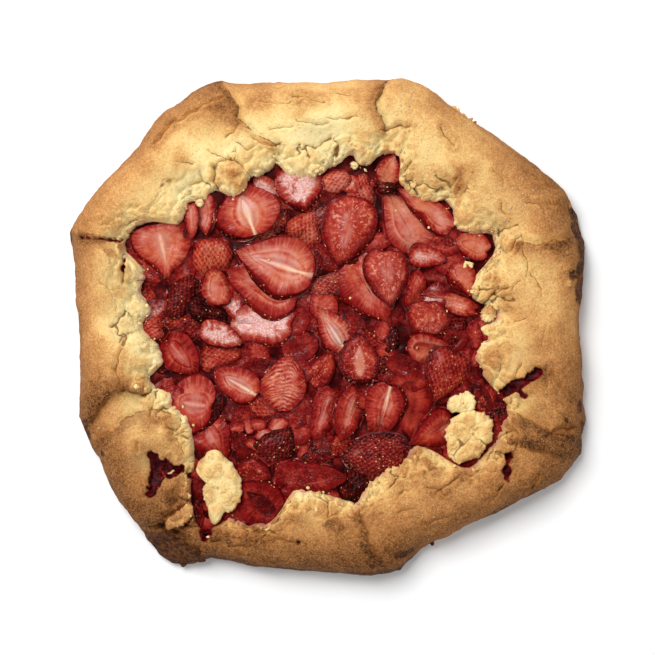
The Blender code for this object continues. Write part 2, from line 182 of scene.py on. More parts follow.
# meshes
def gridFaces(rings, around, start=0):
    # quads between rings of points, each ring closed on itself
    ring = np.arange(rings - 1)[:, None] * around + start
    k = np.arange(around)[None, :]
    n = (k + 1) % around
    return np.stack([ring + k, ring + n, ring + around + n, ring + around + k], axis=-1).reshape(-1, 4)


def fanFaces(centre, ring, around, flip):
    # triangles from a centre point to a ring, the other way up with flip
    k = np.arange(around)
    n = (k + 1) % around
    pair = (ring + n, ring + k) if flip else (ring + k, ring + n)
    return np.stack([np.full(around, centre), *pair], axis=-1)


def addPiece(name, points, faces, marks, material, slot, *nodes):
    # a smooth piece from points in millimetres: marks are named values for each point,
    # and nodes are the solids that it stands for
    mesh = bpy.data.meshes.new(name)
    corners = [corner for part in faces for corner in part.tolist()]
    mesh.from_pydata((np.asarray(points) * mm).tolist(), [], corners)
    mesh.shade_smooth()
    for mark, values in marks.items():
        values = np.asarray(values, np.float32)
        kind, key = ("FLOAT", "value") if values.ndim == 1 else ("FLOAT_VECTOR", "vector")
        mesh.attributes.new(mark, kind, "POINT").data.foreach_set(key, values.ravel())
    mesh.materials.append(material)
    piece = bpy.data.objects.new(name, mesh)
    bpy.context.scene.collection.objects.link(piece)
    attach(piece, "root")
    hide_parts(*nodes)
    return piece


def treeOf(*meshes):
    points, faces = [], []
    for mesh in meshes:
        first = len(points)
        points += [v.co for v in mesh.vertices]
        faces += [[first + k for k in p.vertices] for p in mesh.polygons]
    return BVHTree.FromPolygons(points, faces)


def middleOf(node):
    low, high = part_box(node)
    return np.array((low + high) / 2)[:2] / mm


def heightOn(tree, plan, missing):
    # height of the node's top above each plan point, or missing where there is none
    found = np.full(len(plan), missing, float)
    for k, (x, y) in enumerate(plan):
        hit = tree.ray_cast(Vector((x * mm, y * mm, 0.2)), down)[0]
        if hit:
            found[k] = hit.z / mm
    return found


# shaders
class Value:
    # a shader socket that can be added, multiplied and so on, also with plain numbers
    def __init__(self, shader, socket):
        self.shader = shader
        self.socket = socket

    def maths(self, operation, *values):
        return self.shader.node("ShaderNodeMath", {"operation": operation}, dict(enumerate(values)))

    def __add__(self, other):
        return self.maths("ADD", self, other)

    def __radd__(self, other):
        return self.maths("ADD", other, self)

    def __sub__(self, other):
        return self.maths("SUBTRACT", self, other)

    def __rsub__(self, other):
        return self.maths("SUBTRACT", other, self)

    def __mul__(self, other):
        return self.maths("MULTIPLY", self, other)

    def __rmul__(self, other):
        return self.maths("MULTIPLY", other, self)

    def absolute(self):
        return self.maths("ABSOLUTE", self)

    def cosine(self):
        return self.maths("COSINE", self)

    def clamped(self):
        return self.shader.node("ShaderNodeClamp", {}, {"Value": self})

    def between(self, low, high):
        # 0 below low, 1 above high, smooth in between
        settings = {"interpolation_type": "SMOOTHSTEP"}
        inputs = {"Value": self, "From Min": low, "From Max": high}
        return self.shader.node("ShaderNodeMapRange", settings, inputs)


class Shader:
    def __init__(self, name, **fixed):
        self.material = bpy.data.materials.new(name)
        self.material.use_nodes = True
        self.tree = self.material.node_tree
        self.surface = self.tree.nodes["Principled BSDF"]
        for socket, value in fixed.items():
            self.surface.inputs[socket.replace("_", " ")].default_value = value

    def node(self, kind, settings, inputs, output=0):
        made = self.tree.nodes.new(kind)
        for key, value in settings.items():
            if key == "stops":
                ramp = made.color_ramp.elements
                while len(ramp) < len(value):
                    ramp.new(0.5)
                for element, (position, colour) in zip(ramp, value):
                    element.position = position
                    element.color = (*colour, 1)
            else:
                setattr(made, key, value)
        for key, value in inputs.items():
            if isinstance(value, Value):
                self.tree.links.new(value.socket, made.inputs[key])
            else:
                made.inputs[key].default_value = value
        return Value(self, made.outputs[output])

    def mark(self, name, output="Fac"):
        return self.node("ShaderNodeAttribute", {"attribute_name": name}, {}, output)

    def place(self):
        return self.node("ShaderNodeTexCoord", {}, {}, "Object")

    def noise(self, vector, size, detail=3, roughness=0.5):
        # size is the width of a blotch in millimetres
        inputs = {"Vector": vector, "Scale": 1 / (size * mm), "Detail": detail, "Roughness": roughness}
        return self.node("ShaderNodeTexNoise", {}, inputs)

    def cells(self, vector, size):
        # distance to the nearest of random points, about size apart in millimetres
        return self.node("ShaderNodeTexVoronoi", {}, {"Vector": vector, "Scale": 1 / (size * mm)})

    def ramp(self, factor, stops):
        return self.node("ShaderNodeValToRGB", {"stops": stops}, {0: factor})

    def mixed(self, factor, first, second, blend="MIX"):
        inputs = {0: factor}
        for key, colour in ((6, first), (7, second)):
            inputs[key] = colour if isinstance(colour, Value) else (*colour, 1)
        return self.node("ShaderNodeMix", {"data_type": "RGBA", "blend_type": blend}, inputs, 2)

    def bump(self, height, distance, strength):
        inputs = {"Strength": strength, "Distance": distance * mm, "Height": height}
        return self.node("ShaderNodeBump", {}, inputs)

    def feed(self, **links):
        for socket, value in links.items():
            self.tree.links.new(value.socket, self.surface.inputs[socket.replace("_", " ")])


# the crust: one sheet of dough folded up and over
crustLook = {
    "around": 960,
    "topRings": 84,
    "shoulder": 17.0,  # height where the wall turns into the top
    "curl": 3.2,  # how far the torn edge rounds down
    "lowest": 12.5,  # nothing of the top lies lower than this
    "holeDepth": 4.5,
    # how brown each stretch looks: angle, then at these four radii and at the outer edge
    "brownRadii": (86.0, 100.0, 112.0, 122.0),
    "browning": [
        (0, 0.30, 0.35, 0.45, 0.60, 0.80),  # right: golden, tan at the rim
        (30, 0.35, 0.30, 0.40, 0.55, 0.80),
        (60, 0.30, 0.30, 0.40, 0.50, 0.60),
        (90, 0.10, 0.10, 0.30, 0.45, 0.50),  # top: the palest stretch
        (120, 0.15, 0.10, 0.35, 0.45, 0.70),
        (150, 0.20, 0.20, 0.25, 0.45, 0.70),
        (180, 0.10, 0.25, 0.45, 0.70, 0.75),  # left: cream inside, golden outside
        (210, 0.10, 0.30, 0.55, 0.70, 0.80),
        (240, 0.20, 0.45, 0.60, 0.80, 1.00),
        (270, 0.20, 0.60, 0.80, 0.90, 1.00),  # bottom: the brownest stretch
        (300, 0.45, 0.60, 0.75, 0.80, 1.00),
        (330, 0.25, 0.30, 0.55, 0.65, 0.85),
    ],
    # painted shade in hollows of pale dough, which makes them greyish: angle, radius, how wide, how deep the
    # painted shade
    "dull": [
        (169, 106, 10, 0.55), (178, 103, 8, 0.5), (200.5, 103, 5, 0.9), (204, 105, 8, 0.6),
        (216.5, 112, 6, 0.8), (213, 108, 6, 0.3), (231, 92, 8, 0.45), (241, 98, 6, 0.45),
        (320, 97, 7, 0.45), (351, 98, 8, 0.4), (121, 110, 6, 0.35), (60, 95, 6, 0.3),
        (45, 88, 5, 0.3), (92, 92, 8, 0.5), (33, 93, 9, 0.4), (136, 106, 7, 0.4),
        (119, 115, 5, 0.3), (266, 99, 6, 0.35), (337, 111, 6, 0.3), (222, 103, 7, 0.3),
    ],
    # toasted (positive) and pale (negative) spots: angle, radius, how wide, how strong
    "spots": [
        (207, 106, 4, 0.10), (204.5, 112, 4, 0.10), (211, 92, 4, 0.14), (216, 92, 5, 0.14),
        (219, 97, 4, 0.12), (229, 107, 5, 0.1), (197.5, 106, 4, 0.12), (199, 98, 3.5, 0.16),
        (180, 106, 9, -0.18), (122.5, 87, 5, 0.30), (131, 110, 6, 0.22), (118, 120, 5, 0.18),
        (50.7, 99.5, 5, 0.22), (48.3, 98, 4, 0.2), (351.5, 88, 5, 0.2), (346, 108, 6, 0.16),
        (208, 99.8, 5, 0.25), (279, 96.2, 6, 0.22), (228.5, 114.8, 6, 0.2), (96.3, 108.7, 5, 0.2),
        (128, 115, 9, -0.22), (160, 116, 7, -0.22), (207, 108, 8, -0.24), (90, 105, 9, -0.12),
        (113, 103, 8, -0.16), (17, 104, 8, -0.12), (181, 90, 7, -0.1), (100, 95, 8, -0.06),
        (140, 96, 7, -0.1), (240, 82, 6, -0.1), (332, 91, 7, 0.12), (325, 112, 8, 0.12),
        (334, 116, 6, 0.06), (313, 99, 5, 0.14), (5, 93, 6, 0.16), (352, 106, 9, 0.2),
        (25, 95, 6, 0.12), (186, 95, 5, -0.08), (195, 118, 6, 0.1), (107, 118, 7, 0.12),
        (113.5, 110, 4, 0.12),
    ],
    # where the outline reaches out further: angle, how wide in degrees, how far
    "corners": [
        (16.5, 4, 1.8), (114, 5, 1.5), (207, 5, 2.2), (237, 8, 2.2), (285, 5, 2.2), (338, 4, 2.4),
        (326, 4, 0.8), (160, 4, 0.8),
    ],
    # edges of the pleats: angle, radius of their points; the higher side is on the left of the way
    "pleats": [
        ([(26, 100), (24, 103), (21.5, 109), (20.5, 118), (20, 128)], -2.6),
        ([(72.5, 97), (74, 103), (77, 108), (78, 113), (77, 120), (74.5, 130)], 2.4),
        ([(105.5, 90), (107, 94), (110.5, 100), (112, 107), (114, 113), (112.5, 118), (113.5, 133)], 2.8),
        ([(157, 108), (157.5, 112), (158.6, 118), (159.6, 131)], 2.2),
        ([(201, 95), (200.6, 98), (197.4, 106), (197.4, 113), (200.2, 123), (206.6, 131)], -2.8),
        ([(210.5, 86), (206, 95), (204.6, 104.5), (205.3, 113.5), (206.5, 128)], 2.2),
        ([(279.5, 90), (280, 97), (281, 105), (281.3, 112), (283, 119)], -1.6),
        ([(327, 103), (328, 112), (329.5, 122), (331, 134)], 1.8),
        ([(336, 101), (335, 108), (334.5, 118), (336, 134)], -2.2),
    ],
    # cracks: points, depth, half width
    "cracks": [
        ([(91, 110.5), (93, 112), (95, 113.8), (97, 114.5), (98.5, 113.8)], 1.6, 0.8),
        ([(55, 108.5), (57.5, 110.5), (60, 112.5)], 1.6, 0.7),
        ([(67.5, 107), (70, 105.5), (72, 103), (74, 101.5)], 1.5, 0.8),
        ([(1.5, 93), (2.5, 98)], 0.8, 0.5),
        ([(82, 104), (86, 102.5), (90, 102.5)], 0.8, 0.4),
        ([(100, 100.5), (103, 100.8), (106, 101)], 0.7, 0.4),
        ([(84, 114), (88, 114.5)], 0.7, 0.4),
        ([(97, 121), (103, 120)], 0.6, 0.4),
        ([(114.5, 124.5), (119, 125), (124, 125.3), (129, 126), (133, 124)], 2.0, 0.9),
        ([(116, 117), (117.5, 121), (117.5, 125)], 1.3, 0.6),
        ([(120.5, 96), (123, 100), (124, 105)], 1.0, 0.5),
        ([(117.4, 84), (118.0, 90), (119.5, 95.5)], 1.5, 0.7),
        ([(128.8, 86), (127.8, 91), (125.6, 96.5)], 2.4, 1.2),
        ([(119.5, 95.5), (122.5, 96.8), (125.6, 96.5)], 0.9, 0.5),
        ([(113, 110), (115.5, 107), (118, 106)], 1.2, 0.6),
        ([(155, 119), (156, 125), (156.5, 129)], 1.0, 0.5),
        ([(161, 107), (164.5, 105), (168, 104)], 1.6, 0.8),
        ([(151, 108), (153, 112)], 0.9, 0.5),
        ([(165, 93), (166.5, 97)], 1.5, 0.8),
        ([(212, 110), (213.5, 112)], 1.3, 0.9),
        ([(214, 93), (219, 94), (222, 96)], 0.9, 0.5),
        ([(223.5, 104), (226.5, 102)], 1.6, 0.9),
        ([(230, 124), (231, 118), (231.5, 112)], 1.6, 0.8),
        ([(222, 132), (223, 130.5)], 1.2, 0.7),
        ([(229.2, 124), (230.8, 129), (233.8, 127), (234.4, 118)], 1.8, 0.8),
        ([(228.6, 133), (230.6, 128), (234, 126.4), (238, 126.8), (241, 127)], 2.2, 1.0),
        ([(245, 107.5), (248.5, 109)], 1.0, 0.5),
        ([(246, 119), (251, 115)], 1.0, 0.6),
        ([(252, 108.8), (257, 108.5), (262.3, 108)], 1.2, 0.6),
        ([(303, 99), (309, 98.5), (312, 98)], 1.0, 0.5),
        ([(320, 129), (324, 127)], 0.8, 0.5),
        ([(313, 118), (318, 117)], 0.7, 0.4),
        ([(344, 113), (348.5, 111)], 1.0, 0.5),
        ([(344, 97), (349, 97.5)], 0.8, 0.5),
        ([(343, 88), (347, 88.5)], 0.9, 0.5),
        ([(333, 122), (336, 127), (337.5, 131)], 1.8, 0.9),
        ([(349, 119), (352, 121)], 0.7, 0.4),
        ([(355, 107), (359, 107.5)], 0.6, 0.4),
        ([(182, 113), (186, 112.5)], 0.5, 0.4),
        ([(43, 111.6), (41.3, 112.7), (40.2, 112.4), (39, 111.3)], 0.8, 0.5),
        ([(38, 125.2), (36.2, 125.4), (35, 125.2), (33.4, 126.2), (31.9, 129.8), (30.4, 132.9),
          (29, 134.1)], 1, 0.6),
        ([(31.7, 116), (30.5, 117.5), (30.5, 119.6), (29.7, 121.2), (28.4, 121.7), (27.3, 121.3)], 1, 0.6),
        ([(29.1, 125.5), (27.8, 126.6), (27.5, 128.8), (27.7, 132.1)], 0.9, 0.6),
        ([(27.3, 129), (26, 130.1), (25.1, 131.1)], 0.9, 0.6),
        ([(35, 105.6), (33.7, 104.3), (32.1, 104)], 1.1, 0.6),
        ([(21.3, 103.9), (19.3, 103.5), (17.3, 103.3), (16.1, 102.6), (14, 100.9)], 0.9, 0.5),
        ([(14.1, 104.1), (11.6, 106.1), (10, 107.5), (7.8, 107.2)], 0.8, 0.5),
        ([(8.3, 79.3), (10, 81.9), (10.7, 85.8), (11.9, 90.2)], 1.8, 0.8),
        ([(11.3, 93.2), (12.8, 97.4)], 0.7, 0.4),
        ([(21, 82.6), (20.7, 85.3), (21, 87.4)], 0.9, 0.5),
        ([(108.7, 116.3), (105.3, 115.6), (102.1, 112.3), (99.8, 112.4)], 0.8, 0.4),
        ([(98.3, 103.1), (96, 101.7), (93.6, 100.1), (89.7, 100.7)], 0.9, 0.5),
        ([(111.3, 100.3), (109.5, 96.3), (106.8, 93.5), (104.8, 93.9)], 1.2, 0.8),
        ([(116, 101), (114.4, 96.4), (112.3, 96.3)], 1, 0.6),
        ([(169.1, 113.8), (170.3, 109.5), (170, 104.4)], 0.6, 0.4),
        ([(173.2, 105.6), (175.5, 104.3)], 0.5, 0.4),
        ([(132.4, 110.1), (129.5, 104.8)], 0.9, 0.5),
        ([(186.9, 102.2), (189.6, 105.1), (193.2, 106.8), (196.2, 106.1), (197.6, 106.5)], 1.1, 0.7),
        ([(183.6, 113.3), (184.4, 110.8)], 0.5, 0.4),
        ([(213, 93.8), (215.9, 91.7), (217, 87.7)], 0.9, 0.5),
        ([(244.4, 116.3), (247.7, 114.3), (251.1, 112.7)], 0.9, 0.5),
        ([(249.1, 121.1), (253.2, 119.9), (257.4, 119.4)], 0.8, 0.5),
        ([(358.1, 111.6), (355.9, 112.6)], 0.6, 0.4),
        ([(349.7, 110.2), (348.2, 110.8)], 0.8, 0.5),
        ([(348, 117.5), (346, 118.8), (344.3, 118.4)], 0.9, 0.6),
        ([(344.2, 124.8), (343.2, 129), (342.9, 131)], 1, 0.6),
        ([(339.1, 124.6), (337.2, 130), (334.6, 129), (334.4, 124.4)], 0.9, 0.5),
        ([(301.9, 93.6), (303.9, 97.8), (305.2, 101.5)], 1.3, 0.8),
        ([(307.3, 98.8), (308, 98.7), (310.4, 98.8)], 0.8, 0.4),
        ([(291, 99.4), (293.1, 99.5), (295.3, 99.8)], 0.8, 0.5),
        ([(296.3, 108.9), (299, 109.1), (302.3, 111.9)], 0.9, 0.5),
        ([(314.7, 113.1), (315.9, 116.8), (317.3, 117.8)], 0.8, 0.5),
        ([(324.7, 127.1), (322.4, 128.8), (319.3, 129.9)], 1, 0.6),
        ([(276.1, 93.8), (278.7, 98.7), (278.9, 102.2)], 0.8, 0.4),
        ([(278.7, 105.7), (280.1, 110.5), (282, 113.9)], 1, 0.6),
    ],
    # holes where the fruit's juice shows: points, half width
    "holes": [
        ([(223.6, 121), (222.4, 116.5)], 2.2),
        ([(222, 114.5), (220.4, 109.5)], 3.4),
        ([(215.8, 107.4), (218, 108.2)], 2.2),
        ([(219, 108.2), (221.2, 107.6), (223.6, 104.4)], 3.4),
        ([(239.3, 119), (237, 114.5), (234.5, 110), (232.3, 106.5)], 3.0),
        ([(227.6, 101), (230.2, 101.4), (232.6, 104)], 1.7),
        ([(157.6, 111), (158.8, 118), (159.8, 124), (160.2, 129)], 0.6),
        ([(319.4, 117), (321, 114.5), (324.3, 110.0)], 1.7),
        ([(161.5, 106.2), (165, 105)], 0.6),
        ([(338.4, 94), (341.3, 95.5), (343.6, 100), (347.2, 106.1)], 2.4),
        ([(342.5, 97), (341, 101), (340.6, 103.5)], 1.2),
    ],
    # burnt pits: points, half width
    "burns": [
        ([(230.5, 139), (235, 136), (240, 133)], 6.0),
        ([(231.5, 132), (236, 130.5), (239.5, 129)], 2.6),
        ([(229.6, 131), (230.8, 128)], 0.9),
        ([(286.5, 117.5), (290.5, 118.2)], 1.7),
        ([(262.4, 108)], 0.9),
        ([(201.5, 130), (205, 131)], 1.8),
        ([(6, 125.2), (9, 126), (12, 127.8), (15, 130), (19, 132.3), (22, 133.5)], 2.5),
        ([(10.5, 123.5), (13, 122.5)], 0.9),
        ([(24, 135), (25.5, 135)], 2.2),
        ([(159.8, 136.5), (161.5, 134)], 1.6),
        ([(337, 137), (339, 135)], 1.2),
        ([(341, 131.5), (343, 131)], 1.1),
        ([(117, 130), (121, 130.5), (126, 130.5)], 0.3),
        ([(283, 126.5), (288, 126.5)], 0.8),
        ([(310.5, 125), (312, 124)], 0.6),
    ],
    # swells and hollows: angle, radius, how wide, how high
    "swells": [
        (212, 100, 12, 2.6), (200, 106, 5, -2.0), (202, 118, 5, -1.6), (188, 100, 9, 1.6),
        (168, 108, 5, -2.0), (173, 110, 6, 1.8), (163, 99, 5, 1.4), (143, 95, 5, 1.4),
        (132, 97, 5, -1.8), (137, 104, 8, 1.2), (124, 100, 6, 1.6), (121, 88, 6, 2.4),
        (123, 87, 6.5, 2.0), (108, 97, 5, 1.2), (96, 84, 6, 1.2), (92, 93, 7, -1.4),
        (78, 88, 4.5, 2.0), (84, 92, 6, 1.2), (75, 97, 5, -1.2), (64, 88, 6, 1.4),
        (56, 92, 6, 1.8), (50, 96, 5, -1.2), (36, 88, 7, 1.4), (29, 98, 5, -1.4),
        (14, 84, 8, 1.6), (25, 118, 8, 1.4), (5, 100, 10, 0.8), (349, 86, 8, 1.8),
        (346, 80, 4, 1.2), (342, 100, 4, 1.5), (339, 106, 4, -2.4), (333, 108, 5, 1.8),
        (321, 105, 6, -1.0), (305, 84, 8, 2.0), (291, 84, 7, 1.6), (285, 88, 4, -1.0),
        (278, 99, 6, -2.2), (272, 96, 6, 1.4), (265, 100, 5, -2.0), (260, 92, 6, 1.8),
        (248, 108, 6, 1.4), (227, 112, 5, 1.2), (218, 117, 7, -1.4), (235, 124, 5, -1.8),
        (317, 121, 9, 1.2), (151, 120, 7, 1.0), (100, 108, 10, 0.8),
    ],
    # the torn inner edge: angle, radius
    "lip": [
        (0, 77), (1.2, 81), (2.2, 85.5), (4, 84.5), (6, 83.5), (7.6, 81), (8.2, 78), (9.5, 75),
        (12, 73), (15, 73), (16.2, 75), (18, 77), (20, 79), (20.6, 83), (22, 86), (24, 91),
        (26, 92.5), (28, 94), (29.6, 94.4), (30.2, 92.5), (30.6, 89), (32, 86.3), (33.5, 83.8),
        (36, 81.3), (38.5, 80.6), (40, 83), (42, 85.3), (44, 86.5), (46, 87.3), (47.3, 86),
        (48, 84.5), (49, 83.6), (50, 81.2), (51, 78.8), (53, 77.5), (55, 76.5), (57, 77.5),
        (59.5, 78.8), (61.5, 79.3), (63.7, 80.2), (64.6, 83), (65.4, 86.5), (66, 90), (67.5, 92),
        (69.5, 93.2), (71, 91.6), (72.8, 89.3), (74.2, 88.5), (74.6, 85.5), (75.2, 83.6),
        (77, 82.2), (79, 82.3), (80.5, 83.8), (81.6, 86.8), (83, 86.4), (84, 83.8), (86, 80.6),
        (88, 78.8), (90, 78), (91.5, 75.5), (94, 73.8), (97, 74), (100, 75.6), (103, 76.5),
        (105, 77.8), (106, 80.5), (106.4, 84), (107.2, 86.4), (108.4, 84.4), (109.6, 82.5),
        (111, 83.2), (113, 82.5), (115, 81.4), (116.4, 82.5), (117.2, 86), (118.0, 83.2),
        (119.5, 80.2), (122, 79.2), (125, 78), (127, 79.4), (128, 83), (129, 87.5), (130, 88),
        (132, 88.9), (132.8, 87.8), (133.8, 85.9), (135.2, 85.6), (136.4, 87.2), (136.8, 91),
        (138, 92.8), (139.6, 92.6), (141, 90.3), (143, 89.4), (145, 89.4), (146.5, 91.2),
        (147.6, 95), (148.2, 99), (149, 101.6), (150.3, 103), (151.5, 106), (152.6, 108),
        (154, 108.8), (156, 108.6), (157.2, 110.5), (158.2, 111), (159, 109), (160, 106),
        (161, 103.5), (161.6, 99), (163, 96.2), (164.6, 94.4), (165.5, 93.2), (166.5, 95.2),
        (168, 94), (169.5, 96), (170.2, 94), (172, 91.2), (173.6, 88.7), (175, 87), (176.5, 88),
        (178, 91), (179.6, 92.4), (182, 91.3), (184, 88), (186, 85.6), (188, 84.4), (190, 84.1),
        (192, 83.8), (193.5, 85), (194.5, 88), (195.2, 91.3), (196.6, 93.5), (198, 93.8),
        (199.5, 92.5), (200.5, 90), (201.6, 87), (203, 85.6), (205, 86.5), (207, 86.9), (209, 85),
        (211, 83.8), (214, 83.9), (217, 85), (220, 87), (222, 89.4), (224, 92.5), (226, 95),
        (227.4, 98), (228.6, 103), (230.5, 107), (232.5, 111), (235, 115.5), (237.5, 118.5),
        (239.6, 119.5), (240.6, 116), (241.4, 110), (243, 107.6), (246, 107.2), (248, 107.6),
        (250, 105.2), (252, 103.8), (254, 102.8), (255.2, 100.5), (254.9, 98), (255.9, 95),
        (255.8, 91.5), (257, 87.5), (258.2, 84), (260, 82.5), (263, 82), (265.5, 82.6), (267, 82),
        (269, 82.8), (271, 84.4), (273, 85.3), (275, 86.3), (278, 88.5), (279.6, 89.4), (281, 86.4),
        (283, 83.8), (285, 81.9), (287, 80.6), (289, 78), (291, 76.9), (293.5, 77), (296, 78),
        (298, 78.8), (299.6, 77.6), (301, 76.3), (303, 75.5), (305, 73.8), (307, 73.6), (308.6, 77),
        (310, 80.5), (311.5, 86), (312.4, 93), (314, 98.8), (317, 100.4), (322, 101), (326, 102),
        (330, 101), (333, 101), (335.5, 99.5), (337, 97.5), (338, 95), (339, 91), (340.1, 88.3),
        (341.5, 84.5), (343, 82), (344.6, 81), (346, 77), (347.5, 76), (350, 76), (352, 75.9),
        (354, 77), (355, 80.5), (355.7, 84), (356.3, 80.5), (357.2, 77.6), (358.6, 77),
    ],
}


def softened(values, reach):
    # running mean of a closed row of values, twice
    for _ in range(2):
        values = sum(np.roll(values, k) for k in range(-reach, reach + 1)) / (2 * reach + 1)
    return values


def polarLine(points):
    # two or more points, given as angle and radius, as plan points; a single point becomes a short dash
    line = [polar(*point) for point in points]
    return line if len(line) > 1 else [line[0], line[0] + (0.2, 0.0)]


def lipRadius(angles):
    bends = sorted(crustLook["lip"])
    return np.interp(angles, [a for a, _ in bends], [r for _, r in bends], period=360)


def crustShape():
    look = crustLook
    n = look["around"]
    tree = treeOf(frame["nodes"]["crust"].data)
    angles = np.arange(n) * 360.0 / n
    ways = np.stack([np.cos(np.radians(angles)), np.sin(np.radians(angles))], axis=1)

    def wallAt(z):
        # distance of the outer wall at this height
        reach = np.empty(n)
        for k, (x, y) in enumerate(ways):
            hit = tree.ray_cast(Vector((x * 0.3, y * 0.3, z * mm)), Vector((-x, -y, 0)))[0]
            reach[k] = math.hypot(hit.x, hit.y) / mm
        return reach

    wallHeights = [0.15, 1.2, 2.8, 4.6, 6.6, 8.8, 11, 13.2, 15.2, look["shoulder"]]
    walls = [wallAt(z) for z in wallHeights]
    rings = [np.column_stack([ways * (walls[0] - 6)[:, None], np.zeros(n)])]
    for z, reach in zip(wallHeights, walls):
        rings.append(np.column_stack([ways * reach[:, None], np.full(n, z if z > 0.2 else 0.0)]))
    lip = softened(lipRadius(angles), 2)
    around = np.column_stack([ways * 90, np.zeros(n)])
    ragged = 0.6 + 0.5 * softNoise(around, 30, 73)
    lip = lip + 1.1 - 2.3 * ragged * bulges(angles, 84, 74) - 0.9 * ragged * bulges(angles, 200, 75)
    lip = lip + 0.5 * roughNoise(around, 9, 71, 2) + 0.35 * roughNoise(around, 1.9, 72, 2)
    calmLip = softened(lip, 14)
    inset = walls[-1] - 0.6
    share = (np.arange(look["topRings"]) + 0.5) / (look["topRings"] - 0.5)
    share = share**0.92
    radius = inset + (calmLip - inset) * share[:, None] + (lip - calmLip) * share[:, None] ** 4
    plan = (ways[None] * radius[..., None]).reshape(-1, 2)
    top = heightOn(tree, plan, -1).reshape(-1, n)
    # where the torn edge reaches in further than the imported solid, its height carries on inwards
    for k in range(1, len(top)):
        top[k] = np.where(top[k] < 14.5, top[k - 1] - 0.02, top[k])
    for _ in range(10):  # rounds off the solid's flat facets
        top[1:-1] = (top[:-2] + 2 * top[1:-1] + top[2:]) / 4
        top = (np.roll(top, 1, axis=1) + 2 * top + np.roll(top, -1, axis=1)) / 4
    rings += list(np.dstack([plan.reshape(-1, n, 2), top]))
    return np.array(rings), angles, lip, len(wallHeights) + 1


def evened(grid, reach):
    # a grid of heights, smoothed both ways, its ends carried on
    grid = np.pad(grid, ((2 * reach, 2 * reach), (0, 0)), mode="edge")
    for axis in (0, 0, 1, 1):
        grid = sum(np.roll(grid, k, axis=axis) for k in range(-reach, reach + 1)) / (2 * reach + 1)
    return grid[2 * reach : -2 * reach]


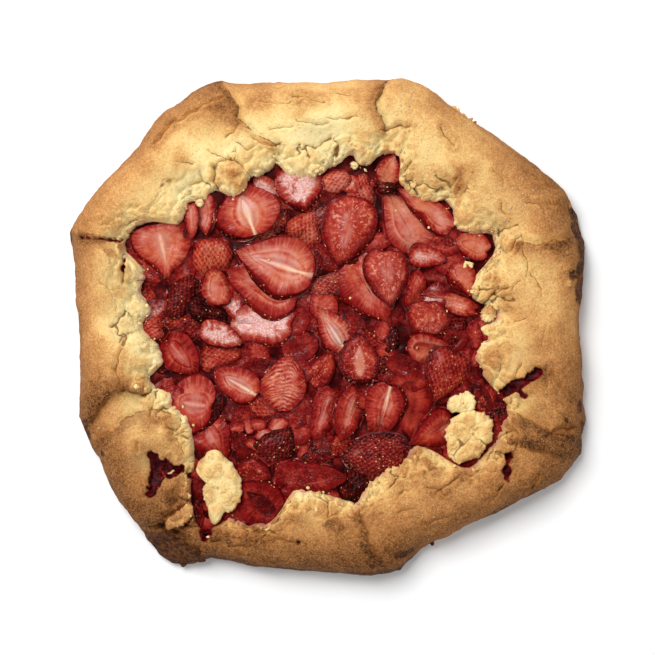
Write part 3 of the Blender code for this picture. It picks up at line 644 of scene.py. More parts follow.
def crustDetail(rings, lip, firstTop):
    # raises and lowers the top for pleats, swells, cracks and holes, and marks the colours, painted shade in
    # hollows and creases among them
    look = crustLook
    count, n = rings.shape[:2]
    points = rings.reshape(-1, 3).copy()
    isTop = (np.arange(count) >= firstTop).repeat(n)
    angle = np.tile(np.arange(n) * 360.0 / n, count)
    radius = np.hypot(points[:, 0], points[:, 1])
    outer = np.tile(np.hypot(*rings[6, :, :2].T), count)
    flat = np.column_stack([points[:, :2], np.zeros(len(points))])
    lift = np.zeros(len(points))
    for a, r, width, height in look["swells"]:
        lift += height * bell(distanceTo(points, a, r), width)
    jitter = 1.0 * softNoise(flat, 3.6, 5) + 0.45 * softNoise(flat, 1.3, 6)
    broken = 0.75 + 0.75 * softNoise(flat, 5, 7)
    ragged = softNoise(flat, 1.4, 8)
    foot = np.full(len(points), farOff)
    crest = np.zeros(len(points))
    fold = np.zeros(len(points))
    for bends, height in look["pleats"]:
        side, along, length = lineDistance(points, polarLine(bends))
        if height < 0:
            side = -side
        side = side + jitter
        ends = smoothStep(0, 5, along) * smoothStep(0, 3, length - along + 2)
        edge = smoothStep(-0.5, 0.6, side) * bell(np.maximum(side, 0), 9)
        dip = -0.4 * bell(np.minimum(side, 0), 3.0) * (side < 0)
        lift += abs(height) * (edge + dip) * ends
        foot = np.minimum(foot, np.where(ends * broken > 0.45, np.abs(side + 0.35) / 0.75, farOff))
        crest = np.maximum(crest, ends * bell(side - 1.6, 1.6))
        reach = bell(side, np.where(side > 0, 10, 5))
        fold += 0.025 * abs(height) * ends * reach * np.where(side > 0, 1, -0.8)
    # painted shade in the creases: the foot of each pleat, the grooves between knobs and the notches between
    # bulges are marked to be painted dark
    crack = foot
    # painted shade along the cracks: where each point lies across a crack's dark line
    thin, crackShadeWidth = np.full(len(points), farOff), np.ones(len(points))
    for bends, depth, width in look["cracks"]:
        signed = lineDistance(points, polarLine(bends))[0] + 0.9 * jitter
        side = np.abs(signed)
        lift += 0.35 * depth * bell(side - 2.2, 1.4)
        lift -= 1.3 * depth * bell(side, 0.9 * width)
        nearer = side < np.abs(thin)
        thin = np.where(nearer, signed, thin)
        crackShadeWidth = np.where(nearer, 0.62 * width * np.clip(broken, 0.45, 1.3), crackShadeWidth)
    hole = np.full(len(points), farOff)
    for bends, width in look["holes"]:
        side = np.abs(lineDistance(points, polarLine(bends))[0]) + min(0.7 * width, 1.7) * jitter
        hole = np.minimum(hole, side - width + 0.7 * ragged)
    burn = np.full(len(points), farOff)
    for bends, width in look["burns"]:
        side = np.abs(lineDistance(points, polarLine(bends))[0]) + 0.9 * jitter
        lift -= 1.4 * smoothStep(width + 1, 0, side)
        burn = np.minimum(burn, side - width)
    turn = np.radians(np.arange(n) * 360 / n)
    edgeLine = np.column_stack([np.cos(turn) * lip, np.sin(turn) * lip])
    fromLip = np.full(len(points), 99.0)
    nearLip = np.flatnonzero(isTop & (radius - np.tile(lip, count) < 16))
    for first in range(0, len(nearLip), 4000):  # in parts, to save memory
        part = nearLip[first : first + 4000]
        gap = points[part, None, :2] - edgeLine[None]
        fromLip[part] = np.sqrt((gap**2).sum(axis=2).min(axis=1))
    curl = look["curl"] * (1 - np.sqrt(np.clip(1 - (1 - np.minimum(fromLip, 2.6) / 2.6) ** 2, 0, 1)))
    lumps = 0.6 * softNoise(points, 14, 11) + 0.26 * roughNoise(points, 6, 12, 3)
    lumps = lumps + 0.12 * roughNoise(points, 1.7, 13, 2)
    knobs, groove = crumbled(flat, 10.5, 31)
    crumbs = crumbled(flat, 4.2, 33)[0]
    torn = smoothStep(19, 6, fromLip + 5 * softNoise(flat, 12, 35))
    close = smoothStep(12, 3, fromLip)
    rubble = (1.1 + 0.6 * close) * knobs + (0.45 + 0.6 * close) * crumbs
    lumps += torn * (rubble + 0.09 * roughNoise(flat, 1.6, 36, 2))
    crack = np.minimum(crack, np.where((torn > 0.35) & (fromLip > 2.2), groove / 1.1, farOff))
    warped = angle + 1.5 * softNoise(flat, 4, 76) + 0.6 * ragged
    notch = smoothStep(0.35, 0.05, bulges(warped, 84, 74)) * smoothStep(9, 1.5, fromLip)
    lumps -= 1.7 * notch
    crack = np.minimum(crack, 1.7 - 1.5 * notch)
    points[:, 2] += np.where(isTop, lift * smoothStep(0, 6, outer - radius + 2) + lumps - curl, 0)
    points[:, 2] -= np.where(isTop, look["holeDepth"] * smoothStep(0.8, -1.2, hole), 0)
    points[:, 2] = np.where(isTop, np.maximum(points[:, 2], look["lowest"]), points[:, 2])
    sideways = 0.55 * roughNoise(points, 6, 21, 3) + 0.9 * softNoise(points, 16, 22)
    reach = 0.9 + sideways
    for a, width, far in look["corners"]:
        reach += far * bell((angle - a + 180) % 360 - 180, width)
    wallShare = smoothStep(0.5, 5, rings.reshape(-1, 3)[:, 2]) * smoothStep(14, 2, outer - radius)
    scale = 1 + reach * wallShare / np.maximum(radius, 1)
    points[:, 0] *= scale
    points[:, 1] *= scale
    table = np.array(look["browning"], float)
    levels = [np.interp(angle, table[:, 0], table[:, k], period=360) for k in range(1, 6)]
    stops = [np.full(len(angle), r) for r in look["brownRadii"]] + [np.maximum(outer - 1, 123)]
    top = points[:, 2].reshape(count, n)[firstTop:]
    raised = np.zeros((count, n))
    raised[firstTop:] = top - evened(top, 4)
    raised = raised.ravel() * smoothStep(2, 8, outer - radius)
    toast = levels[0].copy()
    for k in range(len(look["brownRadii"])):
        share = np.clip((radius - stops[k]) / (stops[k + 1] - stops[k]), 0, 1)
        toast += share * (levels[k + 1] - levels[k])
    toast = np.where(radius > 122, np.maximum(toast, levels[4] - 0.06 * (outer - radius)), toast)
    even = toast.copy()
    mottle = 0.05 * softNoise(flat, 18, 41) + 0.05 * softNoise(flat, 6, 42)
    toast += mottle - 0.10 * smoothStep(0.7, 1.0, toast)
    toast -= 0.10 * smoothStep(10, 1, fromLip)
    toast += 0.05 * np.clip(lift, -2, 2) + 0.05 * lumps
    for a, r, width, amount in look["spots"]:
        away = distanceTo(points, a, r) + 2.2 * jitter
        toast += amount * bell(np.maximum(away, 0), width)
    toast += 0.16 * torn * smoothStep(0.15, 0.7, softNoise(flat, 8, 43) + 0.25 * knobs)
    toast += 0.14 * np.clip(raised, 0, 0.8) + 0.05 * crest + fold
    toast = even + (toast - even) * (1 - 0.55 * smoothStep(0.45, 0.8, even))
    dull = np.zeros(len(points))
    for a, r, width, depth in look["dull"]:
        away = distanceTo(points, a, r) + 1.5 * jitter
        dull = np.maximum(dull, depth * bell(away, width))
    # painted shade where the top lies below its smoothed surroundings, away from the lip
    hollow = 0.42 * smoothStep(0.15, 0.9, -raised) * smoothStep(1, 5, fromLip)
    marks = {"dull": dull, "hollow": hollow, "toast": toast, "crack": crack, "hole": hole, "burn": burn}
    marks["fromLip"] = fromLip
    marks["thin"] = np.clip(thin, -3, 3) / crackShadeWidth
    marks["thinNear"] = smoothStep(2.2, 1.3, np.abs(thin))
    return points, marks


def crustShader():
    s = Shader("bakedDough", Roughness=0.72, Specular_IOR_Level=0.08, Subsurface_Weight=0.06)
    s.surface.inputs["Subsurface Radius"].default_value = (0.6, 0.35, 0.2)
    s.surface.inputs["Subsurface Scale"].default_value = 0.002
    place = s.place()
    blotch = s.noise(place, 9, 3)
    grain = s.noise(place, 2.0, 3, 0.6)
    fine = s.noise(place, 0.9, 2, 0.6)
    speck = fine.between(0.34, 0.66) - 0.5
    toast = s.mark("toast") + (blotch - 0.5) * 0.13
    sandy = toast.clamped() * 0.18 + 0.13
    toast = toast + (grain - 0.5) * sandy + speck * sandy * 0.6
    colour = s.ramp(toast, [
        (0.0, (0.90, 0.755, 0.395)), (0.14, (0.87, 0.670, 0.310)), (0.28, (0.80, 0.535, 0.210)),
        (0.44, (0.64, 0.345, 0.120)), (0.60, (0.46, 0.205, 0.066)), (0.76, (0.28, 0.113, 0.033)),
        (0.90, (0.12, 0.043, 0.012)), (1.0, (0.045, 0.016, 0.007)),
    ])
    patchy = s.noise(place, 6, 2)
    pale = s.cells(place, 1.3).between(0.36, 0.14) * patchy.between(0.42, 0.6)
    colour = s.mixed(pale * 0.22, colour, (0.84, 0.62, 0.34))
    # painted shade: hollows of pale dough, and the loose lumps evenly, are mixed towards a greyish shaded
    # dough colour
    colour = s.mixed(s.mark("dull") * (0.35 + blotch * 0.4), colour, (0.42, 0.31, 0.135))
    pores = s.cells(place, 1.6).between(0.2, 0.05) * patchy.between(0.56, 0.44)
    colour = s.mixed(pores * 0.3, colour, (0.40, 0.18, 0.05))
    # painted shade: the colour is multiplied darker in the hollows of the top
    colour = s.mixed(s.mark("hollow"), colour, (0.66, 0.54, 0.36), "MULTIPLY")
    wobble = (grain - 0.5) * 1.6
    # painted shade: the creases are painted dark brown
    crack = (s.mark("crack") + wobble * 0.6).between(0.95, 0.2)
    # painted shade: a dark line along each crack
    thin = (s.mark("thin").absolute() + wobble * 0.5).between(1.0, 0.35) * s.mark("thinNear")
    colour = s.mixed(crack * 0.85, colour, (0.22, 0.080, 0.018))
    colour = s.mixed(thin.clamped() * 0.8, colour, (0.33, 0.120, 0.026))
    burn = (s.mark("burn") + (blotch - 0.5) * 3 + (grain - 0.5) * 3).between(0.6, -0.9)
    charred = s.mixed(grain.between(0.36, 0.66), (0.022, 0.007, 0.004), (0.15, 0.052, 0.017))
    colour = s.mixed(burn * 0.92, colour, charred)
    stain = (s.mark("fromLip") + (blotch - 0.5) * 9 + wobble).between(1.8, -0.8)
    colour = s.mixed(stain * 0.5, colour, (0.58, 0.24, 0.19))
    hole = (s.mark("hole") + wobble * 0.4).between(0.5, -0.3)
    juiceAndShade = s.mixed(grain.between(0.38, 0.62), (0.024, 0.001, 0.002), (0.20, 0.007, 0.010))
    # painted shade: deeper in a hole the juice is painted darker
    juiceAndShade = s.mixed(s.mark("hole").between(-0.8, -2.4) * 0.75, juiceAndShade, (0.020, 0.001, 0.002))
    colour = s.mixed(hole, colour, juiceAndShade)
    rough = 0.78 - hole * 0.5
    height = fine * 0.5 + grain * (0.45 + burn * 1.6) + pale * 0.3 - pores * 0.6
    s.feed(Base_Color=colour, Roughness=rough, Normal=s.bump(height, 0.7, 1.0))
    return s.material


def makeCrust():
    rings, angles, lip, firstTop = crustShape()
    count, n = rings.shape[:2]
    points, marks = crustDetail(rings, lip, firstTop)
    ways = np.stack([np.cos(np.radians(angles)), np.sin(np.radians(angles))], axis=1)
    nose = points[-n:]
    extra = []
    for back, drop in ((-0.1, 1.2), (0.4, 2.4), (1.6, 3.2), (8.0, 4.4)):
        plan = nose[:, :2] + ways * back
        extra.append(np.column_stack([plan, np.maximum(nose[:, 2] - drop, 12.0)]))
    total = np.vstack([points, *extra, [(0, 0, 0)]])
    for mark in marks:
        marks[mark] = np.concatenate([marks[mark], np.tile(marks[mark][-n:], len(extra)), [0]])
    faces = [gridFaces(count + len(extra), n), fanFaces(len(total) - 1, 0, n, True)]
    addPiece("crustDough", total, faces, marks, dough, "crust", "crust")
    print("crust:", len(total), "points")


dough = crustShader()
makeCrust()


# the fruit: thin slices of strawberry, some lying cut face up and some skin up
fruitLook = {
    "around": 96,
    "faceRings": 22,
    "sunkenAround": 40,
    "sunkenRings": 10,
    "mostFillers": 64,  # small pieces added low in the jam
    "wallRings": 5,
    "depth": 3.4,  # how far the side wall goes down
    "pitLength": 1.75,  # spacing of the seeds on the skin, half of it: along the berry
    "pitWidth": 1.15,  # and across it
    # shift of its middle from its CAD node, length, width, heading of its tip, taper, kind, tone from
    # black 0 to pale 1, paleness of its core, frost with painted glints, heading and width of the side wall
    # that shows
    "slices": {
        "slice_01": (0, 0, 26, 28, 100, 0.2, "flesh", 0.67, 0.0, 0.9, -25, 3.4),
        "slice_02": (0, 0, 21, 13, -80, 0.3, "flesh", 0.58, 0.05, 0.2, 200, 1.0),
        "slice_03": (0, 0, 22, 20, -90, 0.25, "skin", 0.56, 0, 0.2, 0, 0),
        "slice_04": (-1, 0, 18, 13, 180, 0.2, "skin", 0.5, 0, 0.3, 0, 0),
        "slice_05": (0, 0, 23, 18, 190, 0.2, "skin", 0.36, 0, 0.5, 0, 0),
        "slice_06": (0, 0, 23, 14, 10, 0.15, "skin", 0.5, 0, 0.05, 0, 0),
        "slice_07": (0, 0, 35, 23, 180, 0.2, "flesh", 0.62, 0.03, 0.9, -70, 3.0),
        "slice_08": (0, 0, 28, 15, 200, 0.15, "skin", 0.52, 0, 0.7, 0, 0),
        "slice_09": (0.7, 0.4, 20, 18, 60, 0.2, "skin", 0.55, 0, 0.5, 0, 0),
        "slice_10": (0, 0, 20, 15, 80, 0.15, "skin", 0.54, 0, 0.7, 0, 0),
        "slice_11": (-2.5, 0.9, 38, 22, 119, 0.6, "flesh", 0.66, 0.04, 0.1, 250, 0.6),
        "slice_12": (0, 0, 18, 12, -10, 0.25, "flesh", 0.56, 0.1, 0.5, -90, 1.6),
        "slice_13": (0, 0, 21, 11, 85, 0.1, "flesh", 0.5, 0.04, 0.1, 180, 1.0),
        "slice_14": (0, 0, 28, 10, 165, 0.2, "flesh", 0.56, 0.05, 0.4, -90, 1.0),
        "slice_15": (1, -0.6, 35, 27, -60, 0.2, "flesh", 0.55, 0.05, 0.1, 215, 3.6),
        "slice_16": (1, -0.4, 18, 14, -60, 0.25, "flesh", 0.62, 0.05, 0.1, 215, 5.0),
        "slice_17": (0.6, 0.4, 21, 14, 55, 0.25, "dashes", 0.46, 0, 0.1, 160, 1.8),
        "slice_18": (0.9, -0.5, 25, 20, -60, 0.25, "flesh", 0.47, 0.1, 0.1, -20, 2.4),
        "slice_19": (0, 0, 33, 22, -85, 0.25, "flesh", 0.45, -0.02, 0.05, 0, 1.0),
        "slice_20": (-0.7, -0.5, 24, 19, -120, 0.2, "skin", 0.17, 0, 0.1, 0, 0),
        "slice_21": (-0.6, -1.4, 24, 17, 210, 0.35, "flesh", 0.5, 0.05, 0.1, 120, 1.8),
        "slice_22": (1.1, 0.3, 17, 12, 75, 0.35, "flesh", 0.66, 0.03, 0.1, -90, 1.2),
        "slice_23": (1.2, 0, 30, 28, -78, 0.45, "flesh", 0.63, 0.08, 0.25, 232, 3.0),
        "slice_24": (0, 0, 27, 31, 110, 0.1, "flesh", 0.58, 0.34, 0.1, 200, 2.4),
        "slice_25": (0, 0, 17, 7.5, -88, 0.15, "flesh", 0.6, 0.1, 0.2, 180, 1.0),
        "slice_26": (0.4, 1.5, 24, 25, -80, 0.25, "flesh", 0.62, 0.02, 0.95, -70, 3.0),
        "slice_27": (0, 0, 14, 11, 20, 0.15, "skin", 0.62, 0, 0.5, 0, 0),
        "slice_28": (-0.9, 0, 35, 26, -105, 0.25, "dashes", 0.50, 0.06, 0.2, -45, 1.6),
        "slice_29": (-0.4, 0.7, 32, 13, 142, 0.3, "flesh", 0.66, 0.05, 0.1, 228, 4.2),
        "slice_30": (-1.2, -0.4, 10, 6, 10, 0.1, "skin", 0.2, 0, 0.2, 0, 0),
        "slice_31": (1, 0.3, 17, 14, 160, 0.1, "flesh", 0.66, 0.05, 0.1, 240, 1.8),
        "slice_32": (0, 0, 28, 21, -85, 0.25, "dashes", 0.52, 0.06, 0.3, 190, 1.2),
        "slice_33": (0, 0, 22, 20, -90, 0.2, "dashes", 0.50, 0.05, 0.3, -90, 1.0),
        "slice_34": (0, 0, 22, 15, 0, 0.2, "flesh", 0.63, -0.16, 0.1, 90, 2.0),
        "slice_35": (-0.9, -0.2, 27, 21, -110, 0.2, "skin", 0.42, 0, 0.3, 0, 0),
        "slice_36": (0, 0, 25, 16, 122, 0.2, "flesh", 0.66, 0.22, 0.1, 215, 2.4),
        "slice_37": (0, 0, 25, 20, 90, 0.15, "dashes", 0.42, 0.30, 0.3, -90, 2.4),
        "slice_38": (0, 0, 23, 16, -125, 0.2, "skin", 0.27, 0, 0.35, 0, 0),
        "slice_39": (0, 0, 22, 17, -45, 0.2, "skin", 0.15, 0, 0.15, 0, 0),
        "slice_40": (0, 0, 18, 15, 100, 0.2, "flesh", 0.62, 0.04, 0.1, 170, 1.2),
        "slice_41": (0, 0, 21, 13, -20, 0.15, "flesh", 0.62, 0.0, 0.9, -90, 1.4),
        "slice_42": (0, 0, 25, 18, -50, 0.15, "flesh", 0.45, 0.06, 0.1, 140, 1.6),
        "slice_43": (0, 0, 21, 28, 172, 0.05, "flesh", 0.54, 0.12, 0.1, -60, 1.6),
        "slice_44": (-0.4, 0.6, 24, 17, 150, 0.2, "flesh", 0.58, 0.26, 0.1, -70, 2.0),
        "slice_45": (0, 0, 27, 22, 85, 0.2, "waves", 0.60, 0, 0.4, -40, 0.8),
        "slice_46": (1, 0.8, 25, 20, 50, 0.3, "skin", 0.26, 0, 0.3, 0, 0),
        "slice_47": (-0.6, 0, 26, 15, -110, 0.2, "flesh", 0.45, 0.08, 0.3, 180, 2.2),
        "slice_48": (-0.6, 0, 27, 15, -110, 0.2, "flesh", 0.46, 0.1, 0.3, 0, 2.6),
        "slice_49": (-0.9, 0, 29, 20, -105, 0.3, "flesh", 0.5, 0.16, 0.2, 10, 2.4),
        "slice_50": (0, 0, 35, 17, 0, 0.15, "flesh", 0.36, 0.02, 0.2, 90, 2.0),
        "slice_51": (0, 0, 31, 22, 180, 0.15, "skin", 0.34, 0, 0.5, 0, 0),
        "slice_52": (0, 0, 18, 19, 80, 0.15, "dashes", 0.42, 0, 0.1, 90, 1.6),
        "slice_53": (-1.3, -0.3, 26, 22, 140, 0.15, "flesh", 0.38, -0.14, 0.1, 60, 2.0),
        "slice_54": (-0.4, 1.6, 37, 27, 158, 0.3, "flesh", 0.57, 0.06, 0.2, 255, 3.2),
        "slice_55": (-0.3, 1.8, 40, 30, 161, 0.4, "flesh", 0.66, 0.16, 0.15, 240, 4.0),
    },
    # slices and bits half sunk in the jam: middle from the filling's, the same columns but for the last
    # two, and their height above the jam
    "sunken": [
        (16, 78, 20, 9, 0, 0.1, "flesh", 0.68, 0.1, 0.1, 2.2),
        (62, 40, 24, 15, -40, 0.2, "flesh", 0.5, 0.05, 0.2, 1.4),
        (54, 20, 18, 13, 70, 0.1, "flesh", 0.5, 0.1, 1.0, 1.6),
        (45, -20, 13, 11, 0, 0.1, "flesh", 0.42, 0, 0.1, 1.3),
        (66, -1, 13, 12, 40, 0.1, "flesh", 0.4, 0, 0.1, 1.7),
        (75, 2, 15, 8, 95, 0.1, "flesh", 0.5, 0.05, 0.1, 2.0),
        (28, -12, 21, 15, 20, 0.2, "skin", 0.26, 0, 0.4, 1.0),
        (37, -14, 15, 10, -50, 0.1, "flesh", 0.42, 0, 0.1, 1.8),
        (-11, -42, 21, 13, 60, 0.2, "flesh", 0.46, 0.05, 0.2, 1.8),
        (-44, -44, 8, 7, 20, 0, "flesh", 0.52, 0.1, 0.1, 1.9),
        (-38, -44, 8, 6.5, 70, 0, "flesh", 0.6, 0.05, 0.1, 2.2),
        (-33, -42, 9, 7, 10, 0, "flesh", 0.56, 0.1, 0.1, 2.6),
        (-36, -53, 8, 6, -40, 0, "flesh", 0.6, 0.1, 0.1, 2.0),
        (-28, -48, 13, 8, -15, 0, "flesh", 0.68, 0.1, 0.2, 2.5),
        (-23, -42, 10, 8, 40, 0, "flesh", 0.64, 0.1, 0.2, 2.2),
        (-41, -54, 19, 9, -60, 0.1, "flesh", 0.34, 0, 0.1, 1.2),
        (-86, 14, 18, 13, 30, 0.1, "flesh", 0.44, 0.05, 0.5, 1.8),
        (-71, 34, 19, 12, 70, 0.1, "flesh", 0.4, 0.05, 0.1, 1.4),
        (-58, 47, 17, 8, 10, 0.1, "flesh", 0.56, 0.1, 0.2, 2.0),
        (-45, 17, 16, 11, -60, 0.1, "flesh", 0.56, 0.1, 0.9, 1.4),
        (0, 61, 20, 13, 20, 0.1, "skin", 0.36, 0, 0.7, 1.6),
        (-5, 38, 16, 12, 80, 0.1, "skin", 0.28, 0, 0.2, 1.0),
        (2, 28, 21, 12, 10, 0.1, "skin", 0.46, 0, 0.8, 1.8),
        (-1, 17, 17, 15, 90, 0.1, "flesh", 0.6, 0, 0.1, 2.0),
        (-14, 10, 16, 13, 60, 0.1, "flesh", 0.45, 0, 0.1, 1.3),
        (-12, -5, 18, 15, 30, 0.1, "flesh", 0.42, 0, 0.1, 1.2),
        (-12, -16, 17, 12, 10, 0.1, "flesh", 0.48, 0, 0.3, 1.5),
        (-30, -14, 21, 10, 0, 0.1, "flesh", 0.34, 0, 0.1, 1.0),
        (-45, -19, 11, 7, 20, 0.1, "flesh", 0.62, 0.1, 0.4, 1.8),
        (-80, -28, 20, 10, 15, 0.1, "flesh", 0.5, 0.05, 0.4, 2.2),
        (-54, -35, 18, 11, 60, 0.1, "skin", 0.2, 0, 0.1, 1.2),
        (-3, -61, 20, 14, 10, 0.1, "skin", 0.24, 0, 0.2, 0.8),
        (55, -41, 13, 10, 60, 0.1, "skin", 0.4, 0, 0.5, 1.4),
        (77, -27, 21, 9, 125, 0.1, "flesh", 0.3, 0, 0.2, 1.8),
        (79, -41, 18, 13, 20, 0.1, "flesh", 0.56, 0.05, 0.5, 1.4),
        (88, -35, 20, 9, 35, 0.1, "skin", 0.24, 0, 0.4, 1.0),
        (-64, -88, 16, 9, 90, 0.1, "skin", 0.3, 0, 0.2, 1.2),
        (-92, 36, 23, 10, -35, 0.1, "flesh", 0.48, 0.05, 0.4, 1.0),
        (-22, 60, 16, 10, 60, 0.1, "skin", 0.3, 0, 0.4, 1.0),
        (24, -30, 16, 9, 10, 0.1, "flesh", 0.5, 0.05, 0.3, 1.6),
        (38, 36, 14, 9, 80, 0.1, "flesh", 0.46, 0.05, 0.2, 1.2),
        (62, 51, 14, 9, -50, 0.1, "skin", 0.36, 0, 0.5, 1.5),
        (-80, -12, 12, 9, 40, 0.1, "skin", 0.24, 0, 0.2, 1.0),
        (34, 0, 15, 10, 70, 0.1, "skin", 0.26, 0, 0.2, 1.0),
        (-60, -70, 20, 12, 60, 0.1, "flesh", 0.34, 0, 0.1, 1.0),
        (-96, 41, 14, 8, -30, 0.1, "flesh", 0.36, 0, 0.1, 0.9),
    ],
}


def sliceShape(length, width, heading, taper, wobble, wallHeading, wallWidth, n, faceRings):
    # plan points of the rings from the core line out over the face, then down the wall, and their share
    look = fruitLook
    t = np.arange(n) * 2 * math.pi / n
    seedPoints = np.column_stack([np.cos(t) * 2.2, np.sin(t) * 2.2, np.full(n, wobble)])
    uneven = 1 + 0.085 * roughNoise(seedPoints, 1.7, 3, 3)
    notch = 1 - 0.12 * abs(math.sin(wobble)) * bell(t - math.pi, 0.22)
    across = np.sin(t) * np.abs(np.sin(t / 2)) ** (3 * taper)  # the tip, at t = 0, is the pointed end
    outline = np.column_stack([0.5 * length * np.cos(t), 0.5 * width * across / across.max()])
    outline = outline * (uneven * notch)[:, None]
    turn = math.radians(heading)
    axes = np.array([[math.cos(turn), math.sin(turn)], [-math.sin(turn), math.cos(turn)]])
    facing = np.arctan2(*(outline @ axes).T[::-1]) - math.radians(wallHeading)
    reach = 0.22 + wallWidth * np.maximum(np.cos(facing), 0) ** 1.3
    outline = outline * 1.08
    size = np.hypot(*outline.T)
    edge = outline * (1 - np.minimum(reach / size, 0.6))[:, None]
    core = np.column_stack([0.24 * length * np.cos(t) - 0.05 * length, np.zeros(n)])
    shares = (np.arange(faceRings) + 0.5) / (faceRings - 0.5)
    shares = 1 - (1 - shares) ** 1.35
    rings = [core * (1 - s) + edge * s for s in shares]
    levels = np.arange(1, look["wallRings"] + 1) / look["wallRings"]
    rings += [edge + (outline - edge) * q**0.8 for q in levels]
    rings.append(edge * 0.8)
    shares = np.concatenate([shares, 1 + levels, [2]])
    return np.array(rings), axes, t, shares


def towardsTip(along, length):
    # how much closer together the rows of pits run towards the tip
    return 1 - 0.45 * np.clip(2 * along / length, 0, 1) ** 2


def calmed(heights, times):
    # evens out a grid of heights between neighbours
    for _ in range(times):
        opposite = np.roll(heights[0][::-1], 1)  # across the core line
        inner = np.vstack([opposite[None], heights[:-1]])
        outer = np.vstack([heights[1:], heights[-1:]])
        sides = np.roll(heights, 1, axis=1) + np.roll(heights, -1, axis=1)
        heights = (2 * heights + inner + outer + sides) / 6
    return heights


